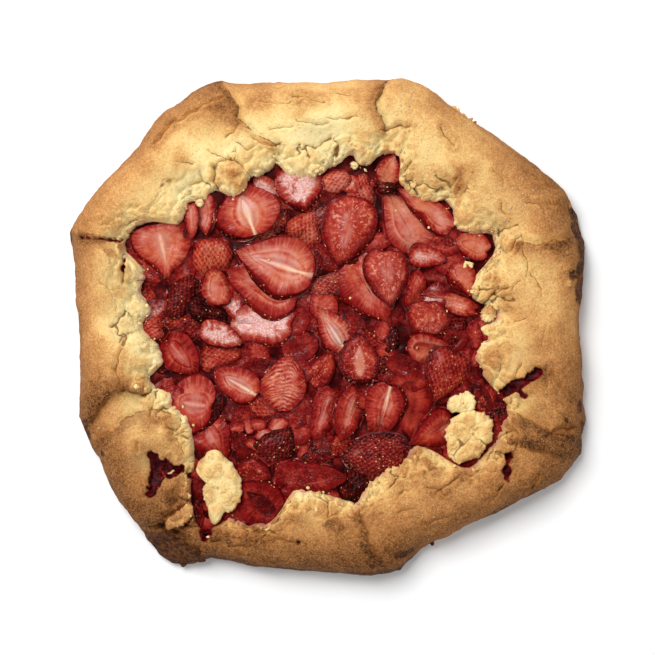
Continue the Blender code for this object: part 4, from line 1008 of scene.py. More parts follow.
def fruitPiece(row, middle, topOf, seed, around, faceRings):
    # points, faces and marks of one slice; topOf gives the height at plan points
    length, width, heading, taper, kind, tone, core, frost, wallHeading, wallWidth = row
    sides = (wallHeading, wallWidth, around, faceRings)
    rings, axes, t, shares = sliceShape(length, width, heading, taper, seed * 3.7, *sides)
    count, n = rings.shape[:2]
    plan = rings @ axes + middle
    top = topOf(plan[:faceRings].reshape(-1, 2)).reshape(faceRings, n)
    top = calmed(top, 8)
    heights = np.vstack([top, np.repeat(top[-1:], count - faceRings, axis=0)])
    share = np.repeat(shares, n)
    local = rings.reshape(-1, 2)
    lattice = local / np.column_stack([np.ones(len(local)), towardsTip(local[:, 0], length)])
    flat = np.column_stack([plan.reshape(-1, 2), np.full(count * n, seed * 11.3)])
    z = heights.ravel()
    face = np.minimum(share, 1)
    wall = np.clip(share - 1, 0, 1)
    turns = np.tile(t, count)
    odd = softNoise(np.array([[seed * 1.7, 0.5, 0.5], [seed * 2.3, 3.5, 0.5], [seed * 0.9, 7.5, 0.5]]), 1, 9)
    # how far round the fibres are laid out, so that they are about as wide on every slice
    girth = (0.07 if kind == "dashes" else 0.105) * (length + width)
    run = 3.2 if kind == "dashes" else 0.9
    fibre = np.column_stack([girth * np.cos(turns), girth * np.sin(turns), run * share + seed])
    streak = 2.2 * np.clip(softNoise(fibre * (1, 1, 0.5), 0.55, 4), -0.5, 0.5) * smoothStep(0.3, 0.85, share)
    shade = np.full(len(z), float(tone))
    rise = 0.22 * roughNoise(flat, 6, 8, 3)
    shade += 0.07 * (odd[0] * local[:, 0] / length + odd[1] * local[:, 1] / width) * 2
    spread = (0.6 + 0.5 * odd[2]) * (0.35 + 0.65 * smoothStep(0.4, 0.9, share)) * smoothStep(0.1, 0.3, share)
    bloom = np.full(len(z), float(frost))
    dash = np.zeros(len(z))
    rim = np.zeros(len(z))
    cream = np.zeros(len(z))
    if kind in ("skin", "dashes"):
        rise += 0.5 * (1 - face**2) - 1.3 * face**5
        # painted shade: skin-up and dashed pieces are darker towards their rounded edges
        shade -= 0.16 * smoothStep(0.6, 1.1, share)
    else:
        bloom *= 0.25 + 1.1 * smoothStep(0.95, 0.3, share + 0.14 * softNoise(flat, 3, 19) - 0.12 * streak)
        rim = (0.85 + 0.3 * odd[1]) * smoothStep(0.55, 0.97, share + 0.1 * streak) * (1 - wall)
        spread = spread * min(1, 26 / length)
        bend = local[:, 1] + odd[0] * (2 * local[:, 0] / length) ** 2 * 0.08 * width
        cream = (core > 0.15) * bell(bend, 0.65) * (share < 1)
        cream = cream * smoothStep(0.12 * length, -0.3 * length, local[:, 0])
    if kind == "dashes":
        shade += core * smoothStep(0.35, 0.1, share) - 0.10 * smoothStep(0.75, 1, share)
        spread = 0.25 * smoothStep(0.06, 0.25, share)
        rim = 0.35 * smoothStep(0.5, 1, share) * (1 - wall)
        dash = smoothStep(0.02, 0.2, share) * smoothStep(0.95, 0.5, share + 0.25 * local[:, 0] / length)
        rise += 0.08 * streak
    if kind in ("flesh", "waves"):
        limit = 0.42 + 0.08 * odd[0] + 0.04 * softNoise(flat, 5, 17)
        lens = smoothStep(limit, limit - 0.16, share)
        shade += core * lens * (0.75 + 0.5 * softNoise(flat, 4, 18))
        circling = np.column_stack([1.3 * np.cos(turns), 1.3 * np.sin(turns), np.full(len(z), seed * 5.1)])
        partly = smoothStep(-0.25, 0.45, softNoise(circling, 1, 20))
        shade -= (0.10 + 0.06 * odd[1]) * bell(share - limit, 0.04) * partly
        shade += 0.09 * bell(share - limit - 0.09, 0.05) * (core > 0) * partly
        shade += 0.20 * bell(share, 0.07) * (core > 0.05)
        shade -= 0.14 * bell(share - 0.17, 0.05) * (core > 0.1)
        shade -= (0.10 + 0.05 * odd[2]) * smoothStep(0.5, 0.9, share) + 0.13 * smoothStep(0.92, 1, share)
        shade += 0.05 * streak
        rise += 0.07 * streak - 0.4 * lens - 0.12 * smoothStep(0.9, 1, share)
        rise += 0.9 * odd[0] * face**2 + 0.05 * odd[1] * local[:, 0] + 0.05 * odd[2] * local[:, 1]
        if core < 0:
            rise -= 0.9 * lens
    if kind == "waves":
        bend = 1.3 * softNoise(flat, 4.5, 14) + 0.05 * local[:, 1] ** 2 / max(width / 20, 0.5)
        ripple = np.sin((local[:, 0] + bend) * 2 * math.pi / 1.9 + 1.8 * softNoise(flat, 2.2, 15))
        ripple *= (0.6 + 0.6 * softNoise(flat, 3.5, 16)) * (1 - wall)
        shade += 0.19 * ripple
        rise += 0.16 * ripple
    if kind != "skin":
        shade += smoothStep(0.0, 0.25, wall) * (0.22 + 0.1 * odd[1] - shade)
    depth = fruitLook["depth"]
    drop = np.where(wall > 0, depth * wall**0.85, 0)
    drop = np.where(np.arange(count * n) >= (count - 1) * n, depth, drop)
    points = np.column_stack([plan.reshape(-1, 2), z + rise * (1 - 0.7 * wall) - drop])
    skin = np.full(len(z), 1.0) if kind == "skin" else smoothStep(0.0, 0.2, wall)
    ends = np.vstack([points[:n].mean(axis=0), points[-n:].mean(axis=0)])
    base = len(points)
    heart = (core > 0.05) * smoothStep(0.34, 0.2, share) * smoothStep(0.05, 0.12, share)
    marks = {
        "tone": np.concatenate([shade, [shade[:n].mean(), 0.2]]),
        "skin": np.concatenate([skin, [skin[0], 1]]),
        "frost": np.concatenate([bloom, [bloom[0], 0]]),
        "fibre": np.vstack([fibre, [(0, 0, seed)] * 2]),
        "spread": np.concatenate([spread, [0, 0]]),
        "rim": np.concatenate([rim, [0, 0]]),
        "dash": np.concatenate([dash, [0, 0]]),
        "cream": np.concatenate([cream, [0, 0]]),
        "lens": np.concatenate([heart, [0, 0]]),
        "local": np.column_stack([np.vstack([lattice, [(0, 0)] * 2]), np.full(base + 2, seed)]),
    }
    faces = [gridFaces(count, n), fanFaces(base, 0, n, True), fanFaces(base + 1, (count - 1) * n, n, False)]
    return np.vstack([points, ends]), faces, marks


def fruitShader():
    s = Shader(
        "strawberry", Specular_IOR_Level=0.06, Subsurface_Weight=0.12, Coat_IOR=1.33, Coat_Roughness=0.1,
    )
    s.surface.inputs["Subsurface Radius"].default_value = (1.0, 0.12, 0.08)
    s.surface.inputs["Subsurface Scale"].default_value = 0.0018
    place = s.place()
    fibre = s.mark("fibre", "Vector")
    local = s.mark("local", "Vector")
    skin, frost = s.mark("skin"), s.mark("frost")
    fibres = {"Vector": fibre, "Scale": 1.9, "Detail": 2.0, "Roughness": 0.6}
    streak = s.node("ShaderNodeTexNoise", {}, fibres)
    blotch = s.noise(place, 6, 3)
    grain = s.noise(place, 1.6, 2, 0.6)
    fine = s.noise(place, 0.8, 2)
    along = s.node("ShaderNodeSeparateXYZ", {}, {0: local}, 0)
    across = s.node("ShaderNodeSeparateXYZ", {}, {0: local}, 1)
    wander = (s.noise(place, 3, 1) - 0.5) * 2.6
    lattice = ((along + wander) * (math.pi / fruitLook["pitLength"])).cosine()
    lattice = lattice * ((across + wander) * (math.pi / fruitLook["pitWidth"])).cosine()
    pits = lattice.between(0.35, 0.95) * skin
    ridges = lattice.between(-0.2, -0.9) * skin
    dash = streak.between(0.54, 0.66) * s.mark("dash") * (1 - skin)
    streak = (streak.between(0.36, 0.64) - 0.5) * s.mark("spread") * (1 - skin)
    tone = s.mark("tone") + streak * 0.27 + (blotch - 0.5) * 0.42 + (grain - 0.5) * 0.14
    # the ridges between the pits are painted lighter, as a painted sheen; the pits are darker
    tone = tone - pits * 0.12 + ridges * 0.07 + dash * 0.23
    colour = s.ramp(tone, [
        (0.0, (0.005, 0.0001, 0.0002)), (0.18, (0.043, 0.0004, 0.0006)), (0.36, (0.175, 0.0035, 0.003)),
        (0.52, (0.38, 0.036, 0.021)), (0.66, (0.52, 0.140, 0.093)), (0.82, (0.62, 0.28, 0.22)),
        (1.0, (0.74, 0.50, 0.44)),
    ])
    rim = s.mark("rim") * (0.9 - streak * 0.9)
    colour = s.mixed(rim.clamped() * 0.82, colour, (0.22, 0.003, 0.004))
    warmth = s.noise(place, 20, 2).between(0.46, 0.62)
    colour = s.mixed(warmth * 0.7, colour, (1.0, 0.86, 0.55), "MULTIPLY")
    colour = s.mixed(s.mark("cream") * 0.85, colour, (0.82, 0.58, 0.36))
    colour = s.mixed(s.mark("lens") * blotch.between(0.35, 0.6) * 0.45, colour, (0.40, 0.17, 0.155))
    # painted glints: fine pale flecks, and flecks on the ridges between the pits, mixed towards white as the
    # skin's wet sheen
    paintedGlints = fine.between(0.54, 0.68) * grain.between(0.38, 0.58)
    paintedGlints = (paintedGlints + ridges * fine.between(0.42, 0.58)).clamped()
    fuzz = fine.between(0.36, 0.58) * 0.6 + 0.4
    bloom = blotch.between(0.34, 0.54) * frost.between(0.4, 1.1) * (0.8 + streak)
    bloom = bloom * (0.95 - skin * 0.75) * fuzz
    white = s.mixed(skin, (0.76, 0.52, 0.49), (0.62, 0.25, 0.21))
    colour = s.mixed((paintedGlints * frost * 0.38 + bloom).clamped(), colour, white)
    height = streak * 0.7 + grain * 0.3 - pits * 0.9 + ridges * 0.3
    wet = s.noise(place, 4, 3).between(0.48, 0.6) * tone.between(0.12, 0.34)
    rough = 0.55 - blotch * 0.2
    s.feed(Base_Color=colour, Roughness=rough, Coat_Weight=wet * 0.3, Normal=s.bump(height, 0.6, 0.8))
    return s.material


def seedShape():
    # a small pip, pointed at one end
    rows, n = 4, 7
    points = [(0.62, 0, 0)]
    for k in range(1, rows):
        turn = math.pi * k / rows
        for j in range(n):
            spin = 2 * math.pi * j / n
            size = math.sin(turn) * (1 - 0.35 * math.cos(turn))
            side = (0.34 * size * math.cos(spin), 0.26 * size * math.sin(spin))
            points.append((0.62 * math.cos(turn), *side))
    points.append((-0.55, 0, 0))
    last = len(points) - 1
    faces = [fanFaces(0, 1, n, False), gridFaces(rows - 1, n, 1), fanFaces(last, last - n, n, True)]
    return np.array(points), faces


def seedShader():
    s = Shader("pips", Roughness=0.35, Coat_Weight=0.5)
    tint = s.mark("tint")
    grain = s.noise(s.place(), 0.5, 2)
    colour = s.ramp(tint + (grain - 0.5) * 0.3, [
        (0.0, (0.18, 0.015, 0.006)), (0.45, (0.38, 0.09, 0.02)), (0.75, (0.60, 0.26, 0.06)),
        (1.0, (0.78, 0.50, 0.19)),
    ])
    s.feed(Base_Color=colour, Normal=s.bump(grain, 0.1, 0.5))
    return s.material


def treeOfSlices(made):
    points = np.vstack([piece for piece, *_ in made])
    polygons, first = [], 0
    for piece, faces, *_ in made:
        polygons += [[i + first for i in face] for part in faces for face in part.tolist()]
        first += len(piece)
    return BVHTree.FromPolygons(points.tolist(), polygons)


def gapFillers(made, jam):
    # more small pieces of fruit, low in the jam wherever no slice lies on top
    dice = random.Random(11)
    tree = treeOfSlices(made)
    found = []
    for i in range(-11, 12):
        for j in range(-11, 12):
            x, y = i * 8 + dice.uniform(-3, 3), j * 8 + dice.uniform(-3, 3)
            angle = math.degrees(math.atan2(y, x))
            inside = math.hypot(x, y) < lipRadius(angle % 360) + 1
            free = all(
                tree.ray_cast(Vector((x + dx + jam[0], y + dy + jam[1], 60)), down)[0] is None
                for dx, dy in ((0, 0), (1.5, 0), (-1.5, 0), (0, 1.5), (0, -1.5))
            )
            kind = "skin" if dice.random() < 0.12 else "flesh"
            size = dice.uniform(14, 21)
            row = (x, y, size, size * dice.uniform(0.55, 0.85), dice.uniform(0, 360), 0.2, kind)
            if inside and free:
                tone, frost, height = dice.uniform(0.3, 0.54), dice.uniform(0.1, 0.4), dice.uniform(0.3, 1.5)
                found.append((*row, tone, 0.05, frost, height))
    dice.shuffle(found)
    return found[: fruitLook["mostFillers"]]


def makeFruit():
    made = []  # points, faces, marks, row and middle of every slice
    nodes = frame["nodes"]
    look = fruitLook
    fruit = fruitShader()
    for k, (node, row) in enumerate(look["slices"].items()):
        tree = treeOf(nodes[node].data)
        centre = middleOf(node)
        middle = centre + row[:2]
        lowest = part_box(node)[1].z / mm - 4

        def topOf(plan, tree=tree, centre=centre, lowest=lowest):
            # the facets end a little inside the true outline, so the height is read nearer the middle
            for pull in (0.95, 0.8, 0.6, 0.3):
                found = heightOn(tree, centre + (plan - centre) * pull, -1)
                if pull == 0.95:
                    best = found
                best = np.where(best < 0, found, best)
            return np.where(best < 0, lowest, best)

        points, faces, marks = fruitPiece(row[2:], middle, topOf, k + 1, look["around"], look["faceRings"])
        slot = "berry_outside" if row[6] == "skin" else "berry_inside"
        addPiece("fruit_" + node[-2:], points, faces, marks, fruit, slot, node)
        made.append((points, faces, row[2:], middle, look["around"], look["faceRings"]))
    print("slices:", len(made))
    jam = middleOf("filling")
    allPoints, allFaces, allMarks, first = [], [], {}, 0
    fillers = gapFillers(made, jam)
    sunken = look["sunken"] + fillers
    for k, row in enumerate(sunken):
        x, y, *rest, height = row
        middle = jam + (x, y)
        tilt = np.array([hashOf(k, 3, 1, 5) - 0.5, hashOf(k, 7, 1, 5) - 0.5]) * 0.16

        def topOf(plan, middle=middle, tilt=tilt, height=height):
            return fillingLook["level"] + height + (plan - middle) @ tilt

        wall = (360 * hashOf(k, 1, 1, 8), 1.6)
        size = (look["sunkenAround"], look["sunkenRings"])
        points, faces, marks = fruitPiece((*rest, *wall), middle, topOf, k + 70, *size)
        # painted shade: the pieces low in the jam, beneath the slices, are made darker
        marks["tone"] = marks["tone"] - 0.05
        made.append((points, faces, (*rest, *wall), middle, *size))
        allPoints.append(points)
        allFaces += [f + first for f in faces]
        for mark, values in marks.items():
            allMarks.setdefault(mark, []).append(values)
        first += len(points)
    allMarks = {mark: np.concatenate(values) for mark, values in allMarks.items()}
    addPiece("sunkenFruit", np.vstack(allPoints), allFaces, allMarks, fruit, "berry_inside")
    print("sunken slices:", len(sunken), "of which fillers:", len(fillers), "points:", first)
    return made


def makeSeeds(made):
    # pips on the skin wherever it shows, read off the finished slices
    tree = treeOfSlices(made)
    shape, shapeFaces = seedShape()
    dice = random.Random(4)
    spots = []
    look = fruitLook
    for piece, faces, row, middle, n, faceRings in made:
        length, width, heading = row[:3]
        kind = row[4]
        turn = math.radians(heading)
        axes = np.array([[math.cos(turn), math.sin(turn)], [-math.sin(turn), math.cos(turn)]])
        own = BVHTree.FromPolygons(piece.tolist(), [f for part in faces for f in part.tolist()])
        wanted = []
        if kind == "skin":
            for i in range(-14, 15):
                for j in range(-14, 15):
                    u = i * look["pitLength"]
                    v = j * look["pitWidth"] * towardsTip(u, length)
                    if (i + j) % 2 == 0 and (2 * u / length) ** 2 + (2 * v / width) ** 2 < 0.98:
                        wanted.append((np.array([u, v]) @ axes + middle, 0.24))
        else:
            edge = piece[(faceRings - 1) * n : faceRings * n, :2]
            last = faceRings + look["wallRings"]
            rim = piece[(last - 1) * n : last * n, :2]
            step = 2.3 / (math.pi * (length + width) / 2 / n)
            at = dice.random() * step
            row = 0
            while at < n:
                k = int(at) % n
                wide = math.hypot(*(rim[k] - edge[k]))
                share = 0.3 + 0.45 * (row % 2) * min(wide / 2, 1)
                wanted.append((edge[k] * (1 - share) + rim[k] * share, 0.5 if wide > 1.2 else 0.12))
                at += step * (0.8 + 0.5 * dice.random()) * (0.55 if wide > 2 else 1)
                row += 1
        for spot, chance in wanted:
            spot = spot + (dice.uniform(-0.25, 0.25), dice.uniform(-0.25, 0.25))
            start = Vector((spot[0], spot[1], 60))
            hit, normal = own.ray_cast(start, down)[:2]
            top = tree.ray_cast(start, down)[0]
            if hit and top and top.z - hit.z < 0.06 and dice.random() < chance:
                if normal.z < 0:
                    normal = -normal
                spots.append((hit, normal, turn + dice.uniform(-0.5, 0.5), dice.uniform(0.75, 1.1)))
    points, faces, tints = [], [], []
    for k, (hit, normal, turn, size) in enumerate(spots):
        lie = Vector((math.cos(turn), math.sin(turn), 0))
        side = normal.cross(lie).normalized()
        along = side.cross(normal)
        basis = np.array([along, side, normal])
        points.append(shape * size @ basis + np.array(hit) + 0.02 * np.array(normal))
        faces += [part + k * len(shape) for part in shapeFaces]
        tints.append(np.full(len(shape), dice.uniform(0.1, 0.95)))
    marks = {"tint": np.concatenate(tints)}
    addPiece("pips", np.vstack(points), faces, marks, seedShader(), "berry_outside")
    print("pips:", len(spots))


# the jam between the slices
fillingLook = {"level": 13.1, "around": 300, "rings": 64, "under": 7.0}


def fillingShader():
    s = Shader("jam", Specular_IOR_Level=0.04, Roughness=0.4, Coat_Roughness=0.06)
    s.surface.inputs["Coat IOR"].default_value = 1.35
    place = s.place()
    blotch = s.noise(place, 7, 4, 0.6)
    fine = s.noise(place, 1.0, 3, 0.6)
    colour = s.ramp(blotch + (fine - 0.5) * 0.25, [
        (0.36, (0.020, 0.0006, 0.0007)), (0.50, (0.060, 0.0015, 0.0015)), (0.61, (0.17, 0.008, 0.007)),
        (0.76, (0.34, 0.06, 0.045)),
    ])
    wet = s.noise(place, 3, 2).between(0.56, 0.64)
    height = blotch * 0.6 + fine * 0.4
    s.feed(Base_Color=colour, Coat_Weight=wet * 0.15, Normal=s.bump(height, 0.5, 0.35))
    return s.material


def makeFilling():
    look = fillingLook
    n, count = look["around"], look["rings"]
    angles = np.arange(n) * 360 / n
    reach = softened(lipRadius(angles), 4) + look["under"]
    turn = np.radians(angles)
    radius = reach[None] * (np.arange(1, count + 1) / count)[:, None]
    points = np.dstack([radius * np.cos(turn), radius * np.sin(turn), np.zeros_like(radius)]).reshape(-1, 3)
    points = np.vstack([points, [(0, 0, 0)]])
    points[:, 2] = look["level"] + 0.55 * roughNoise(points, 9, 51, 4) + 0.2 * softNoise(points, 1.8, 52)
    bottom = points[(count - 1) * n : count * n] * (0.995, 0.995, 1) - (0, 0, 5)
    points = np.vstack([points, bottom, [(0, 0, 8)]])
    start = count * n + 1
    ring = np.arange(n)
    beside = (ring + 1) % n
    edge = (count - 1) * n
    skirt = np.stack([edge + ring, start + ring, start + beside, edge + beside], axis=1)
    top, base = fanFaces(count * n, 0, n, False), fanFaces(start + n, start, n, True)
    addPiece("jam", points, [gridFaces(count, n), top, skirt, base], {}, fillingShader(), "jam", "filling")
    print("jam:", len(points), "points")


def makeJelly(made):
    # jam drawn up the sides of the slices: a thin hollow curve from each side wall to what lies beside it
    s = Shader(
        "jelly", Roughness=0.4, Specular_IOR_Level=0.1, Coat_Weight=1.0, Coat_Roughness=0.05, Coat_IOR=1.36,
    )
    blotch = s.noise(s.place(), 5, 3)
    colour = s.ramp(blotch, [
        (0.35, (0.05, 0.001, 0.002)), (0.6, (0.24, 0.014, 0.012)), (0.75, (0.36, 0.05, 0.04)),
    ])
    s.feed(Base_Color=colour, Normal=s.bump(blotch, 0.6, 0.5))
    pieces = bpy.context.scene.collection.objects
    beneath = treeOf(*[p.data for p in pieces if p.name.startswith(("fruit_", "sunken", "jam"))])
    look = fruitLook
    points, faces = [], []
    for k, (piece, _, _, middle, n, faceRings) in enumerate(made[: len(look["slices"])]):
        last = faceRings + look["wallRings"]
        foot, edge = piece[(last - 1) * n : last * n], piece[(faceRings - 1) * n : faceRings * n]
        away = foot[:, :2] - middle
        away = away / np.hypot(*away.T)[:, None]
        beside = heightOn(beneath, foot[:, :2] + 0.6 * away, 0)
        gap = edge[:, 2] - beside
        turn = np.arange(n) * 2 * math.pi / n
        patchy = softNoise(np.column_stack([np.cos(turn) * 2, np.sin(turn) * 2, np.full(n, k * 3.0)]), 1, 95)
        wet = (gap > 0.6) & (gap < 7) & (patchy > 0.05)
        rise = softened(np.where(wet, np.minimum(0.9, gap * 0.45), -0.9), 2)
        sunk = np.clip((gap - rise) / look["depth"], 0, 1) ** (1 / 0.85)
        start = edge[:, :2] + (foot - edge)[:, :2] * (sunk**0.8)[:, None]
        rings = []
        for out in (-0.25, 0.12, 0.4, 0.8, 1.3):
            z = beside + rise * (1 - max(out, 0) / 1.3) ** 2.2 - 0.25 * (out > 1) + 0.1 * (out < 0)
            rings.append(np.column_stack([start + away * out, np.minimum(z, edge[:, 2] - 0.12)]))
        points.append(np.vstack(rings))
        faces.append(gridFaces(5, n, k * 5 * n)[:, ::-1])
    addPiece("jelly", np.vstack(points), faces, {}, s.material, "jam")
    print("jelly edges:", len(points))


makeFilling()
fruit = makeFruit()
makeSeeds(fruit)
makeJelly(fruit)


# loose lumps of dough on the fruit
lumpLook = {
    # outline, height of its top where no solid gives it, thickness, browning, the node it stands for
    "lumpWest": (
        [(-66, -70), (-59, -63.5), (-56, -63), (-51, -68), (-46, -75), (-44.5, -84), (-46.5, -91),
         (-48, -93), (-54, -93.5), (-54.5, -99), (-58.5, -101.5), (-60, -91), (-62.5, -82), (-61, -79),
         (-67, -74)],
        0, 6.0, 0.26, "dough_lump_west"),
    "lumpEast": (
        [(61, -50), (65, -46), (73, -43), (79, -44), (85, -49), (83, -53), (84, -56), (80, -62), (74, -68),
         (65, -70), (60, -60)], 0, 6.5, 0.31, "dough_lump_east"),
    "crumbEast": (
        [(59, -38.5), (66, -34.5), (68, -32), (73, -35), (74, -39), (72, -43), (64, -42.5), (61, -44.5)],
        0, 4.5, 0.14, "dough_crumb_east"),
    "flap": (
        [(-81, -97), (-76, -94), (-73, -91), (-69, -88.5), (-66.5, -88), (-66, -91), (-69, -96), (-75, -100),
         (-80, -101.5)], 25.2, 6.5, 0.60, None),
    "crumbRight": (
        [(76.5, 6), (78, 9.5), (81, 11), (84, 8), (84.5, 4), (81, 1.5), (77.5, 2.5)],
        18.8, 6.0, 0.22, None),
    "crumbHole": (
        [(-81, -72), (-79, -70.5), (-76, -71.5), (-77.5, -74), (-80.5, -73.8)], 19.5, 4.0, 0.10, None),
    "crumbTop": ([(12, 82), (15, 82), (15.3, 79), (13.5, 77.8), (11.6, 79)], 16.5, 3.0, 0.05, None),
    "crumbLeft": (
        [(-66.5, 61), (-63.5, 64), (-61.5, 62.5), (-62, 60), (-64.5, 59.2)], 18.0, 3.5, 0.08, None),
}


def makeLumps():
    for k, (name, (outline, top, thick, brown, node)) in enumerate(lumpLook.items()):
        outline = np.array(outline, float)
        middle = outline.mean(axis=0)
        shift = np.zeros(2)
        if node:
            shift = middleOf(node) - (outline.min(axis=0) + outline.max(axis=0)) / 2
            shift = np.clip(shift, -1.0, 1.0)
            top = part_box(node)[1].z / mm + 0.6
        n, count = (180, 28) if thick > 5.5 else (90, 16)
        turn = np.arange(n) * 2 * math.pi / n
        corner = np.arctan2(*(outline - middle).T[::-1])
        order = np.argsort(corner)
        far = np.hypot(*(outline - middle)[order].T)
        reach = np.interp(turn, corner[order] % (2 * math.pi), far, period=2 * math.pi)
        reach = softened(reach, 3)
        wobble = np.column_stack([np.cos(turn) * 8, np.sin(turn) * 8, np.full(n, k * 5.0)])
        reach = reach * (1 + 0.05 * roughNoise(wobble, 3.0, 61, 3))
        reach = reach + 0.45 * roughNoise(wobble * 1.5, 1.6, 62, 2)
        calm = 0.35 if node == "dough_lump_west" else 1
        reach = reach * (1.06 - 0.13 * calm * bulges(np.degrees(turn), 13, 83 + k))
        reach = reach - 0.5 * calm * bulges(np.degrees(turn), 31, 90 + k)
        share = np.concatenate([(np.arange(1, count + 1) / count), [1.0, 0.97, 0.9]])
        radius = reach[None] * share[:, None]
        flat = np.dstack([radius * np.cos(turn), radius * np.sin(turn)]).reshape(-1, 2) + middle + shift
        s = np.repeat(share, n)
        inner = np.tile(reach, len(share)) * (1 - s)
        fall = (0.6 if thick > 5.5 else 0.4) * np.tile(reach, len(share))
        rounded = np.sqrt(np.clip(1 - (1 - np.minimum(inner, fall) / fall) ** 3, 0, 1))
        plane = np.column_stack([flat, np.zeros(len(flat))])
        knobs, groove = crumbled(plane, 11, 67 + k)
        z = top - 0.5 * thick + 0.5 * thick * rounded
        crumbs = crumbled(plane, 4, 80 + k)[0]
        knobs = np.maximum(knobs, -0.9)
        z += (0.8 * roughNoise(plane, 8, 63, 4) + 0.7 * knobs + 0.5 * crumbs) * np.minimum(rounded + 0.2, 1)
        under = np.repeat(np.concatenate([np.zeros(count), [0.5, 0.8, 1.0]]), n)
        z -= under * (thick * 0.5 + 1.5)
        points = np.vstack([np.column_stack([flat, z]), [(*(middle + shift), top)]])
        points[-1, 2] = points[:n, 2].mean()
        bottom = points[(len(share) - 1) * n : len(share) * n].mean(axis=0)
        points = np.vstack([points, bottom])
        big = len(points)
        toast = brown + 0.24 * smoothStep(0.1, 1.0, roughNoise(points, 9, 65, 3))
        toast = toast + 0.1 * softNoise(points, 3, 66)
        toast[:-2] += 0.12 * knobs - 0.10 * (1 - rounded)
        crack = np.full(big, farOff)
        # painted shade in the grooves between the knobs of the browner lumps
        if brown > 0.3:
            crack[:-2] = groove / 1.1
        marks = {"toast": toast, "crack": crack}
        marks["hole"] = marks["burn"] = np.full(big, farOff)
        marks["fromLip"] = np.concatenate([inner + 0.5, [9, 0]])
        # painted shade over the whole lump, heavier on the west lump
        marks["dull"] = np.full(big, 0.22 if node == "dough_lump_west" else 0.05)
        marks["hollow"] = marks["thin"] = marks["thinNear"] = np.zeros(big)
        caps = [fanFaces(big - 2, 0, n, False), fanFaces(big - 1, (len(share) - 1) * n, n, True)]
        stands = [node] if node else []
        addPiece(name, points, [gridFaces(len(share), n), *caps], marks, dough, "dough", *stands)
    print("lumps:", len(lumpLook))


makeLumps()


# crumbs of dough and grains of sugar
crumbLook = {
    "alongLip": 120,
    "onFruit": 9,
    "sugar": 360,
    # crumbs that stand out: place, radius, browning
    "placed": [
        (75, 104, 1.1, 0.7), (72, 104, 1.2, 0.5), (69.5, 107, 1.1, 0.4), (64, 110, 1.3, 0.3),
        (66, 109, 1.0, 0.35), (118, 36, 1.0, 0.55), (116.5, 27, 1.3, 0.5), (119, 21, 1.5, 0.5),
        (121, 28, 1.2, 0.75), (123, 57, 1.6, 0.95), (121, 60, 1.2, 0.6), (124, 14, 1.4, 0.9),
        (19, 78, 1.0, 0.05), (71, 31, 2.4, 0.1), (68.5, 30, 1.2, 0.1), (-64, -120, 1.6, 0.9),
        (-74, -121, 1.8, 0.95), (-112, -63, 1.4, 0.9), (-114, -58, 1.3, 0.8), (-117, -52, 1.2, 0.7),
        (56, -116, 1.5, 0.9), (22, -119, 1.7, 0.97), (26, -117, 1.2, 0.9), (118, -47, 1.6, 0.95),
        (121, -55, 1.5, 0.9),
    ],
    # where sugar lies thicker: angle, radius, how wide, how much
    "sweet": [
        (35, 111, 9, 1.0), (32, 93, 8, 1.0), (140, 100, 10, 0.5), (205, 114, 10, 0.25),
        (300, 108, 14, 0.4), (70, 112, 12, 0.6),
    ],
}


def ball(rows, n):
    # points and faces of a round blob of radius 1
    turn = np.pi * np.arange(1, rows)[:, None] / rows
    spin = 2 * np.pi * np.arange(n)[None] / n
    side = np.sin(turn) * np.cos(spin), np.sin(turn) * np.sin(spin)
    points = np.dstack([*side, np.cos(turn) * np.ones_like(spin)]).reshape(-1, 3)
    total = np.vstack([points, [(0, 0, 1), (0, 0, -1)]])
    last = (rows - 2) * n
    caps = [fanFaces(len(points), 0, n, False), fanFaces(len(points) + 1, last, n, True)]
    return total, [gridFaces(rows - 1, n)[:, ::-1], *caps]


